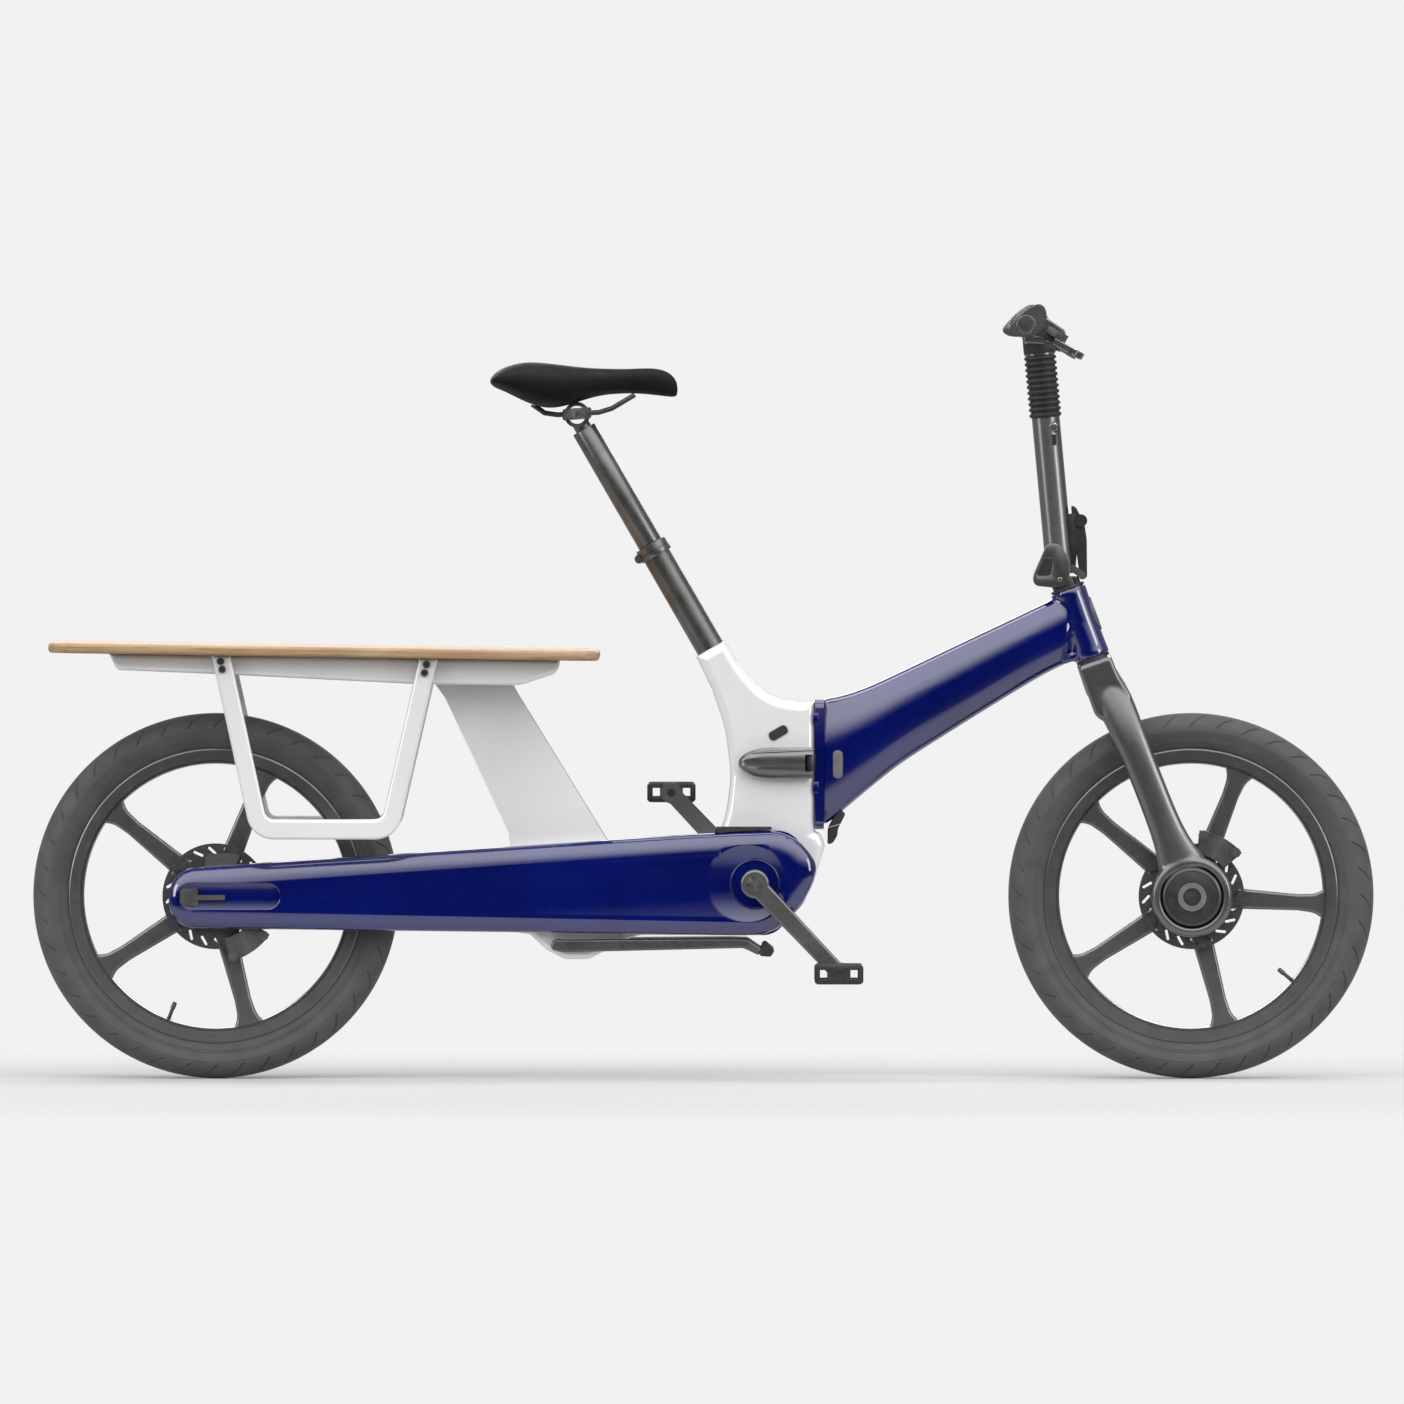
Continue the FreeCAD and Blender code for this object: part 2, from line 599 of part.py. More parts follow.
def caliper(x, middle):
    """A caliper body over the disc's edge, with a slot for the disc and two bosses."""
    centre = (x, AXLE_Z)
    body = sector(centre, 60.0, 93.0, middle - 21, middle + 21, -53, -28)
    body = body.cut(disc(centre, 77.0, -43.5, -32.5))
    for offset in (-17, 17):
        boss = polar(centre, 87.0, middle + offset)
        body = body.fuse(disc(boss, 7.0, -56, -44))
    return body.removeSplitter()


def brake_pads(x, middle):
    """One pad on each side of the disc, clear of it by 0.4 mm."""
    centre = (x, AXLE_Z)
    far = sector(centre, 61.0, 73.0, middle - 12, middle + 12, ROTOR_Y + 1.4, -32.5)
    near = sector(centre, 61.0, 73.0, middle - 12, middle + 12, -43.5, ROTOR_Y - 1.4)
    return group([far, near])


FRONT_CALIPER, REAR_CALIPER = 62.0, -56.0


def front_caliper():
    body = caliper(FRONT_X, FRONT_CALIPER)
    return body.cut(fork_blade())


def rear_caliper():
    """The rear caliper and the bracket that bolts it to the case's inner half."""
    body = caliper(REAR_X, REAR_CALIPER)
    bracket = plate([(-700, 300), (-652, 304), (-646, 316), (-694, 316)], CASE_FAR,
                    CASE_FAR + 4, 5)
    bracket = bracket.fuse(plate([(-697, 290), (-655, 290), (-652, 306), (-697, 306)],
                                 CASE_FAR, CASE_FAR + 4))
    body = body.cut(drive_case_solid())
    return group(body.Solids + [bracket.removeSplitter()])


# ---- the front frame -------------------------------------------------------------------------
def head_axis(distance):
    """The side-view point a distance up the steering axis from the head tube's foot."""
    return along(HEAD_BOTTOM, HEAD_TOP, distance)


HEAD_LENGTH = math.hypot(HEAD_TOP[0] - HEAD_BOTTOM[0], HEAD_TOP[1] - HEAD_BOTTOM[1])


def front_spar_outline(grow=0.0):
    upper = [(140, 527), (200, 537), (243, 553.5), (345.5, 602.5), (512, 681)]
    lower = [(540, 596), (478.5, 567.7), (380.5, 507.5), (275.5, 441.5), (205.5, 385),
             (166, 350.5), (140, 350)]
    shrink = [(x, z - grow) for x, z in upper] + [(x, z + grow) for x, z in lower]
    return shrink


def front_frame():
    """The blue front spar: a deep hollow box by the joint, narrowing to the head tube."""
    radii = [0, 90, 200, 300, 10, 10, 60, 300, 300, 200, 10, 0]
    spar = plate(front_spar_outline(), -30, 30, radii, rim=14.0)
    spar = spar.cut(block((0, -60, 200), (JOINT_X + 6, 60, 700)))
    collar = plate([(JOINT_X, 352), (JOINT_X + 9, 348), (JOINT_X + 12, 360),
                    (JOINT_X + 12, 526), (JOINT_X + 9, 532), (JOINT_X, 531)], -34, 34, 2)
    shell = spar.fuse(collar)
    head = rod(at(head_axis(0)), at(head_axis(HEAD_LENGTH)), HEAD_RADIUS)
    shell = shell.fuse(head).removeSplitter()
    shell = shell.cut(battery_box(0.0))
    return shell.cut(rod(at(head_axis(-20)), at(head_axis(HEAD_LENGTH + 20)), 19.0))


def battery_box(inset):
    """The pack's space: it slides in from the joint end."""
    points = [(JOINT_X - 1 + inset, 372), (JOINT_X - 1 + inset, 512), (210, 519), (420, 612),
              (420, 552), (270, 462), (200, 402)]
    return plate(points, -20 + inset, 20 - inset, 2)


def battery_pack():
    return battery_box(0.0).cut(block((0, -50, 300), (JOINT_X + 3, 50, 600)))


def head_badge():
    """A plain oval cap on the head tube's front face."""
    middle = head_axis(HEAD_LENGTH * 0.56)
    lean = V(HEAD_TOP[0] - HEAD_BOTTOM[0], 0, HEAD_TOP[1] - HEAD_BOTTOM[1])
    lean.normalize()
    front = V(lean.z, 0, -lean.x)
    face = at(middle) + front * (HEAD_RADIUS - 6)
    oval = Part.Ellipse(V(0, 0, 0), 24.0, 13.0).toShape()
    cap = Part.Face(Part.Wire([oval])).extrude(V(0, 0, 8.0))
    placing = FreeCAD.Placement(face, FreeCAD.Rotation(lean, V(0, 1, 0), front, "ZXY"))
    cap.Placement = placing
    return cap.cut(rod(at(head_axis(0)), at(head_axis(HEAD_LENGTH)), HEAD_RADIUS))


def frame_plug():
    """The grey oblong plug in the drive-side flank, by the joint."""
    points = [(181, 421), (195, 421), (195, 460), (181, 460)]
    return plate(points, -31.5, -30, 6.9)


def joint_bumper():
    """The rubber hook under the joint, that the folded bicycle stands on."""
    points = [(173, 327), (184, 329.5), (192, 352), (200, 372), (190, 377), (180, 366),
              (172.5, 350)]
    return plate(points, -12, 12, 3, rim=2.0).cut(front_frame())


def headset_bearings():
    rings = []
    for low, high in ((-0.7, 8.0), (HEAD_LENGTH - 8, HEAD_LENGTH + 1.5)):
        rings.append(tube(at(head_axis(low)), at(head_axis(high)), 19.0, 14.3 + RUNNING))
    return group(rings)


def fold_hinge_front():
    low, high = 411.5, 462.5
    barrel = Part.makeCylinder(8.0, high - low, V(JOINT_X, FOLD_AXIS_Y, low))
    leaf = block((JOINT_X + 4, FRAME_HALF_WIDTH, low), (JOINT_X + 40, FRAME_HALF_WIDTH + 5, high))
    leaf = leaf.fuse(block((JOINT_X + 13, 30, low), (JOINT_X + 40, FRAME_HALF_WIDTH + 1, high)))
    knuckle = barrel.fuse(leaf).removeSplitter()
    return knuckle.cut(Part.makeCylinder(3.5 + RUNNING, 120, V(JOINT_X, FOLD_AXIS_Y, 378)))


def frame_latch_lever():
    """The bullet-shaped lever that locks the joint, with its pivot pin at the right end."""
    x, y = LATCH_PIVOT
    points = [(153.5, 421.5), (153.5, 463.5), (92, 463.5), (60, 455), (48.5, 442.5),
              (60, 430), (92, 421.5)]
    lever = plate(points, -58, -FRAME_HALF_WIDTH - 2, [5, 5, 40, 18, 12, 18, 40], rim=5.0)
    lever = lever.cut(block((x - 7.5, -70, 431), (x + 20, 0, 454)))
    return lever.cut(Part.makeCylinder(2.5 + RUNNING, 60, V(x, y, 410)))


# ---- fork, front hub -------------------------------------------------------------------------
def fork_blade():
    """The one-sided fork: crown, leg and the round hub seat in one casting."""
    crown = plate([(522.5, 578), (548, 505), (562, 499), (580, 506), (606, 530), (584, 560),
                   (569, 595)], -62, 24, [4, 14, 14, 20, 24, 60, 4], rim=8.0)
    leg = plate([(536, 576), (566, 487), (594, 418), (626, 332), (632, 298), (626, 256),
                 (738, 256), (714, 303), (676, 333), (652, 406), (632, 467), (604, 533),
                 (566, 570)], -74, -46,
                [10, 200, 200, 90, 60, 0, 0, 60, 60, 200, 200, 60, 20], rim=9.0)
    ring_seat = disc((FRONT_X, AXLE_Z), 56.5, -75, -45)
    ring_seat = soften(ring_seat, 5.0, lambda e: e.BoundBox.YLength < 0.01)
    cut_below = block((600, -90, 150), (800, 0, 256))
    blade = leg.cut(cut_below).fuse(crown).fuse(ring_seat).removeSplitter()
    low, high = at(head_axis(-1.0)), at(head_axis(60))
    blade = blade.cut(rod(low, high, 60.0))
    blade = blade.cut(rod(at(head_axis(-40)), at(head_axis(5)), 14.3))
    blade = blade.cut(disc((FRONT_X, AXLE_Z), 42.5, -80, -60))
    return blade.cut(disc((FRONT_X, AXLE_Z), AXLE_RADIUS, -80, -40))


def fork_steerer():
    """The steerer tube, from inside the crown up to the stem base."""
    return tube(at(head_axis(-40)), at(head_axis(HEAD_LENGTH + 14)), 14.3, 11.5)


def front_hub_cap():
    """The domed cap in the fork's round seat, with a plain grey ring on it."""
    cap = disc((FRONT_X, AXLE_Z), 41.5, -80, -60)
    cap = soften(cap, 3.0, lambda e: e.BoundBox.YLength < 0.01 and e.BoundBox.YMin < -79)
    return cap.cut(ring((FRONT_X, AXLE_Z), 20.0, 12.0, -81, -79.2))


def motor_stator():
    """The hub motor's wound core and the axle it is fixed on."""
    centre = (FRONT_X, AXLE_Z)
    core = disc(centre, 38.0, -18, 18)
    for i in range(12):
        core = core.cut(disc(polar(centre, 31.0, 30.0 * i), 4.5, -20, 20))
    return core.fuse(disc(centre, AXLE_RADIUS, -60, 33)).removeSplitter()


# ---- stem and handlebar ----------------------------------------------------------------------
def stem_base():
    """The black block clamped on the steerer: the stem's pivot barrel and latch hook."""
    top = head_axis(HEAD_LENGTH + 2)
    block_body = plate([(484, 688), (486, 703), (522, 703), (526, 694), (527, 686.5),
                        (520, 680)], -17, 17, 3, rim=2.0)
    collar = rod(at(top), at(head_axis(HEAD_LENGTH + 14)), 20.0)
    barrel = disc(STEM_PIVOT, 6.5, -12, 12)
    arm = plate([(466, 692), (466, 702), (494, 702), (494, 690)], -12, 12)
    body = block_body.fuse(collar).fuse(arm).fuse(barrel).removeSplitter()
    body = body.cut(rod(at(head_axis(0)), at(head_axis(HEAD_LENGTH + 14)), 14.3))
    body = body.cut(rod(at(head_axis(0)), at(head_axis(HEAD_LENGTH + 1.8)), 40.0))
    body = body.cut(block((400, -60, 703), (620, 60, 800)))
    return body.cut(disc(STEM_PIVOT, 3.5, -30, 30))


def stem_axis(distance):
    return along(STEM_FOOT, STEM_TOP, distance)


STEM_LENGTH = math.hypot(STEM_TOP[0] - STEM_FOOT[0], STEM_TOP[1] - STEM_FOOT[1])


def stem_tube():
    """The lower stem tube and its flared foot, which straddles the pivot barrel."""
    column = rod(at(stem_axis(0)), at(stem_axis(STEM_LENGTH)), STEM_RADIUS)
    flare = plate([(460.5, 693), (465, 709), (478, 748), (484, 780), (512, 780), (521, 710),
                   (520, 703.6), (486, 703.6), (480, 690), (464, 688.5)], -18, 18,
                  [6, 30, 40, 60, 30, 20, 3, 3, 6, 6], rim=5.0)
    body = column.fuse(flare).removeSplitter()
    body = body.cut(block((400, -60, 600), (600, 60, 688.3)))
    body = body.cut(plate([(481, 600), (481, 703.6), (560, 703.6), (560, 600)], -60, 60))
    slot = plate([(440, 680), (440, 706), (481.5, 706), (481.5, 680)], -12.6, 12.6)
    body = body.cut(slot)
    body = body.cut(rod(at(stem_axis(26)), at(stem_axis(STEM_LENGTH + 5)), 16.3))
    body = body.fuse(disc(STEM_PIVOT, 3.5 - RUNNING, -18, 18))
    for side in (-1, 1):
        cheek = plate([(512, 712), (514, 722), (534, 708), (536, 700), (528.5, 698.5),
                       (522, 704.5)], *sorted((side * 9.3, side * 12.8)), 3)
        body = body.fuse(cheek)
    return body.fuse(disc(STEM_LATCH_PIVOT, 2.5, -12.8, 12.8)).removeSplitter()


def stem_latch_lever():
    """The over-centre lever on the stem's front, with a thumb knob near its top."""
    blade = plate([(526.5, 703.8), (530, 698), (537, 702), (536.5, 755), (533, 778), (521, 800),
                   (514.5, 803), (516.5, 779), (525, 716)], -9, 9,
                  [3, 3, 4, 20, 12, 8, 3, 10, 10], rim=1.5)
    knob = disc((528, 781), 9.0, -13, 13)
    lever = blade.fuse(knob).removeSplitter()
    return lever.cut(disc(STEM_LATCH_PIVOT, 2.5 + RUNNING, -20, 20))


def handlebar():
    """The sliding upper post with its head block, and the bar that runs across it."""
    lean = V(STEM_TOP[0] - STEM_FOOT[0], 0, STEM_TOP[1] - STEM_FOOT[1])
    lean.normalize()
    low = at(STEM_TOP) - lean * 130
    post = rod(low, at(STEM_TOP) + lean * 118, 16.25)
    clamp = plate([(446, 1040), (450, 1072), (466, 1080.5), (482, 1068), (486, 1040),
                   (480, 1026), (447, 1028)], -26, 26, [6, 16, 16, 16, 8, 8, 8], rim=6.0)
    bar = disc(BAR_CENTRE, 11.0, -BAR_HALF_WIDTH + 2, BAR_HALF_WIDTH - 2)
    neck = rod(at(STEM_TOP) + lean * 88, at(STEM_TOP) + lean * 112, 21.5)
    return post.fuse(neck).fuse(clamp).fuse(bar).removeSplitter()


def stem_bellows():
    """The ribbed rubber sleeve between the stem tube and the handlebar's neck."""
    lean = V(STEM_TOP[0] - STEM_FOOT[0], 0, STEM_TOP[1] - STEM_FOOT[1])
    lean.normalize()
    start, count, pitch = at(STEM_TOP), 11, 8.0
    body = tube(start, start + lean * (count * pitch), 20.0, 16.6)
    for i in range(count):
        low = start + lean * (i * pitch + 1.5)
        body = body.fuse(tube(low, low + lean * 5.0, 22.4, 17.0))
    return body.removeSplitter()


def grips():
    """Two shaped grips, each with a palm rest that points back."""
    pieces = []
    for side in (-1, 1):
        y0, y1 = sorted((side * (BAR_HALF_WIDTH - 122), side * BAR_HALF_WIDTH))
        body = disc(BAR_CENTRE, 17.0, y0, y1)
        palm_y = sorted((side * (BAR_HALF_WIDTH - 62), side * BAR_HALF_WIDTH))
        wing = plate([(420, 1045), (424, 1055), (447, 1073), (452, 1038.5), (430, 1038.5)],
                     palm_y[0], palm_y[1], [4, 8, 8, 8, 6], rim=3.0)
        whole = body.fuse(wing).removeSplitter()
        bar_end = disc(BAR_CENTRE, 11.0, *sorted((side * 100, side * (BAR_HALF_WIDTH - 2))))
        pieces.append(whole.cut(bar_end))
    return group(pieces)


def lever_placed(shape, side):
    """Carries a flat piece, drawn as (forward, outward) with its depth downward, to a lever."""
    rake = math.radians(LEVER_RAKE)
    fore, up = math.cos(rake), math.sin(rake)
    x, y, z = LEVER_PIVOT
    shape.Placement = FreeCAD.Placement(FreeCAD.Matrix(fore, -up, 0, x,
                                                       0, 0, 1, y,
                                                       -up, -fore, 0, z,
                                                       0, 0, 0, 1))
    return shape if side > 0 else mirrored(shape)


def lever_perches():
    """The two brake-lever clamps on the bar, each with an ear above and below its lever."""
    pieces = []
    for side in (-1, 1):
        y0, y1 = sorted((side * 142, side * 160))
        body = disc(BAR_CENTRE, 16.0, y0, y1)
        body = body.fuse(plate([(452, 1041), (452, 1069), (478, 1065), (506, 1046), (498, 1026),
                                (478, 1034)], y0, y1, [4, 4, 8, 8, 8, 8], rim=2.5))
        ear = [(-30, -22), (9, -22), (9, 6), (2, 10), (-8, 6), (-20, -10)]
        for low, high in ((-7.0, 3.6), (14.4, 18.0)):
            body = body.fuse(lever_placed(plate(ear, low, high, [0, 3, 5, 6, 5, 6]), side))
        body = body.fuse(lever_placed(disc((0, 0), 2.5, 3.0, 15.0), side))
        body = body.removeSplitter().cut(disc(BAR_CENTRE, 11.0, -300, 300))
        pieces.append(body)
    return group(pieces)


def brake_lever(side):
    """A long blade that turns on the perch's pin and runs outward in front of the grip."""
    shape = [(-7, -7), (7, -7), (38, 10), (39, 98), (36, 110), (26, 110), (24, 98), (24, 26),
             (-7, 7)]
    blade = plate(shape, 4.0, 14.0, [5, 5, 14, 20, 4, 4, 20, 14, 5], rim=1.8)
    blade = blade.cut(disc((0, 0), 2.5 + RUNNING, 0, 20))
    return lever_placed(blade, side)


# ---- saddle and posts ------------------------------------------------------------------------
def seatpost_lower():
    """The thick post that slides in the seat tube, with the clamp collar at its top."""
    top = seat_axis(168)
    post = rod(at(seat_axis(-84)), at(top), LOWER_POST_RADIUS)
    collar = rod(at(seat_axis(150)), at(seat_axis(168)), 23.0)
    lug_middle = seat_axis(158)
    a = math.radians(SEAT_TILT)
    lug_at = (lug_middle[0] - 24 * math.cos(a), lug_middle[1] - 24 * math.sin(a))
    lug = disc(lug_at, 6.5, -9, 9)
    bore = rod(at(seat_axis(-90)), at(seat_axis(175)), UPPER_POST_RADIUS + RUNNING)
    return post.fuse(collar).fuse(lug).removeSplitter().cut(bore)


def seatpost_upper():
    """The thin post that slides in the lower one, with the round clamp cradle on top."""
    cradle = disc(SEAT_CLAMP, 18.0, -14, 14)
    cradle = cradle.cut(disc(SEAT_CLAMP, 12.5, -20, 20))
    reach = seat_axis(0)
    top_distance = math.hypot(SEAT_CLAMP[0] - reach[0], SEAT_CLAMP[1] - reach[1])
    post = rod(at(seat_axis(90)), at(seat_axis(top_distance - 22)), UPPER_POST_RADIUS)
    neck = rod(at(seat_axis(top_distance - 30)), at(seat_axis(top_distance - 13)), 12.0)
    bar = plate([(-196, 925.5), (-196, 931.5), (-158, 934.5), (-158, 928.5)], -14, 14)
    neck = neck.cut(disc(SEAT_CLAMP, 14.0, -20, 20))
    return cradle.fuse(neck).fuse(post).fuse(bar).removeSplitter()


RAIL_Y, RAIL_RADIUS = 22.0, 3.5


def rail_path():
    return [(-240, 944), (-222, 931.5), (-204, 929), (-146, 932.5), (-128, 938), (-96, 957)]


def saddle_rails():
    """Two bent steel rails under the saddle."""
    rails = []
    for side in (-1, 1):
        path = rail_path()
        points = [at(p, side * RAIL_Y) for p in path]
        pieces = [rod(points[i], points[i + 1], RAIL_RADIUS) for i in range(len(points) - 1)]
        pieces += [Part.makeSphere(RAIL_RADIUS, p) for p in points[1:-1]]
        rail = pieces[0]
        for piece in pieces[1:]:
            rail = rail.fuse(piece)
        rails.append(rail.removeSplitter().cut(saddle()))
    return group(rails)


def saddle_clamp():
    """The pair of grooved clamp plates that grip the rails on the post's cradle."""
    pieces = []
    for side in (-1, 1):
        y0, y1 = sorted((side * 14.0, side * 30.0))
        block_body = plate([(-197, 921), (-197, 937), (-157, 940), (-157, 924)], y0, y1, 3)
        rail = rod(at(rail_path()[2], side * RAIL_Y), at(rail_path()[3], side * RAIL_Y),
                   RAIL_RADIUS)
        pieces.append(block_body.cut(rail))
    return group(pieces)


def saddle_section(x, top, bottom, half_width):
    """One cross-section of the saddle: domed above, drawn in below."""
    middle = bottom + (top - bottom) * 0.42
    points = [V(x, 0, top), V(x, half_width * 0.62, top - (top - middle) * 0.22),
              V(x, half_width, middle), V(x, half_width * 0.72, bottom),
              V(x, -half_width * 0.72, bottom), V(x, -half_width, middle),
              V(x, -half_width * 0.62, top - (top - middle) * 0.22)]
    return Part.Wire(Part.makePolygon(points + points[:1]).Edges)


def saddle():
    """The saddle's body, lofted from the wide tail to the narrow nose."""
    stations = [(-297, 980, 972, 52), (-282, 993, 962, 72), (-250, 1003.5, 945, 80),
                (-215, 1001, 938, 76), (-180, 997, 943, 60), (-145, 995, 953, 40),
                (-105, 994, 959, 26), (-70, 993.5, 957, 22), (-47, 982, 955, 18),
                (-36, 964, 955, 11)]
    wires = [saddle_section(*station) for station in stations]
    body = Part.makeLoft(wires, True, True)
    return body.cut(block((-222, -36, 900), (-132, 36, 960)))


# ---- stand and rear lever --------------------------------------------------------------------
def kickstand():
    """Two legs joined by the pivot tube through the keel, folded up under the beam."""
    legs = []
    for side in (-1, 1):
        y0, y1 = sorted((side * (KICKSTAND_HALF_TRACK - 6), side * (KICKSTAND_HALF_TRACK + 6)))
        leg = plate([(-214, 182), (-211, 197), (-196, 196), (40, 198), (62, 197), (84, 182),
                     (77, 174), (56, 184), (-196, 178)], y0, y1,
                    [6, 8, 20, 0, 10, 3, 3, 14, 20], rim=3.0)
        legs.append(leg)
    shaft = disc(KICKSTAND_PIVOT, 7.0, -KICKSTAND_HALF_TRACK, KICKSTAND_HALF_TRACK)
    return legs[0].fuse(legs[1]).fuse(shaft).removeSplitter()


def kickstand_feet():
    """The rubber caps on the legs' bent ends."""
    feet = []
    for side in (-1, 1):
        y0, y1 = sorted((side * (KICKSTAND_HALF_TRACK - 10), side * (KICKSTAND_HALF_TRACK + 10)))
        foot = plate([(84, 194), (100, 181), (94, 172), (77, 173)], y0, y1, 4, rim=2.0)
        feet.append(foot)
    return group([foot.cut(kickstand()) for foot in feet])


def rear_axle_lever():
    """The grey lever in the case's pocket, that frees the rear wheel."""
    pad = plate([(-731, 245.5), (-731, 266.5), (-706, 270), (-706, 242)], -79.5, -75.2, 5)
    stick = plate([(-710, 251.5), (-710, 258.5), (-668, 258.5), (-668, 252)], -82, -75.2, 2)
    lever = pad.fuse(stick).removeSplitter()
    x, y = AXLE_LEVER_PIVOT
    return lever.cut(Part.makeCylinder(1.5 + RUNNING, 50, V(x, y, 230)))


# ---- export ----------------------------------------------------------------------------------
def parts():
    return {
        "main_frame": main_frame(),
        "rack_strut": rack_strut(),
        "rack_tray": rack_tray(),
        "rack_deck": rack_deck(),
        "side_guard_right": side_guard(-1),
        "side_guard_left": side_guard(1),
        "guard_bolts": guard_bolts(),
        "drive_case_back": drive_case_back(),
        "drive_case_cover": drive_case_cover(),
        "drive_chain": drive_chain(),
        "frame_rubber_trim": frame_rubber_trim(),
        "bottom_bracket_bearings": bottom_bracket_bearings(),
        "fold_hinge_rear": fold_hinge_rear(),
        "rear_axle": rear_axle(),
        "rear_caliper": rear_caliper(),
        "rear_brake_pads": brake_pads(REAR_X, REAR_CALIPER),
        "front_frame": front_frame(),
        "battery_pack": battery_pack(),
        "head_badge": head_badge(),
        "frame_plug": frame_plug(),
        "joint_bumper": joint_bumper(),
        "headset_bearings": headset_bearings(),
        "fold_hinge_front": fold_hinge_front(),
        "frame_latch_lever": frame_latch_lever(),
        "fork_blade": fork_blade(),
        "fork_steerer": fork_steerer(),
        "front_hub_cap": front_hub_cap(),
        "motor_stator": motor_stator(),
        "front_caliper": front_caliper(),
        "front_brake_pads": brake_pads(FRONT_X, FRONT_CALIPER),
        "stem_base": stem_base(),
        "stem_tube": stem_tube(),
        "stem_latch_lever": stem_latch_lever(),
        "handlebar": handlebar(),
        "stem_bellows": stem_bellows(),
        "grips": grips(),
        "lever_perches": lever_perches(),
        "brake_lever_right": brake_lever(-1),
        "brake_lever_left": brake_lever(1),
        "front_tyre": tyre(FRONT_X),
        "front_wheel": cast_wheel(FRONT_X, 46.0, 40.0),
        "front_rotor": rotor(FRONT_X),
        "rear_tyre": tyre(REAR_X),
        "rear_wheel": cast_wheel(REAR_X, 40.0, 34.0),
        "rear_rotor": rotor(REAR_X),
        "rear_sprocket": rear_sprocket(),
        "crank_spindle": crank_spindle(),
        "chainring": chainring(),
        "crank_arm_right": crank_arm(-1),
        "crank_arm_left": crank_arm(1),
        "pedal_right": pedal(-1),
        "pedal_left": pedal(1),
        "seatpost_lower": seatpost_lower(),
        "seatpost_upper": seatpost_upper(),
        "saddle": saddle(),
        "saddle_rails": saddle_rails(),
        "saddle_clamp": saddle_clamp(),
        "kickstand": kickstand(),
        "kickstand_feet": kickstand_feet(),
        "rear_axle_lever": rear_axle_lever(),
    }


os.makedirs("parts", exist_ok=True)
for name, shape in parts().items():
    shape.exportStep("parts/" + name + ".step")
    if not shape.isValid():
        print("check", name)
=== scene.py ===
"""Studio scene of a long-tail folding cargo bicycle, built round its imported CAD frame."""
import math

import bmesh
import bpy
from mathutils import Matrix, Vector

import json


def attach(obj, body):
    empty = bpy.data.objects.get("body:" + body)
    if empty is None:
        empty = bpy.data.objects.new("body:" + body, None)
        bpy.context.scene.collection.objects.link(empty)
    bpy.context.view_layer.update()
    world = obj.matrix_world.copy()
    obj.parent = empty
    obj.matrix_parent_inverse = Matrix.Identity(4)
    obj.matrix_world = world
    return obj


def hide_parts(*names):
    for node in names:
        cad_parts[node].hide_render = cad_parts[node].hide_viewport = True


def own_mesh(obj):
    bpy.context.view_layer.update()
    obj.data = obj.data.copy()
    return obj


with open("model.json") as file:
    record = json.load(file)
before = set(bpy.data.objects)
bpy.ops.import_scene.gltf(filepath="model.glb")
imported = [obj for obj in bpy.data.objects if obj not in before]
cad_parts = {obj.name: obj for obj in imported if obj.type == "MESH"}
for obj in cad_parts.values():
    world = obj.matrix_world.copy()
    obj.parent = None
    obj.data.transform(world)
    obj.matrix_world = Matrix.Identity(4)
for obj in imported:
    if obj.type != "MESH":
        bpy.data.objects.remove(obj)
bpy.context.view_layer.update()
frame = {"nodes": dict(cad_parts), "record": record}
bpy.ops.object.select_all(action="DESELECT")

MM = 0.001
FULL_TURN = 2 * math.pi
REAR_AXLE, FRONT_AXLE = (-682.5, 256.0), (682.5, 256.0)
CRANK = (71.8, 274.4)


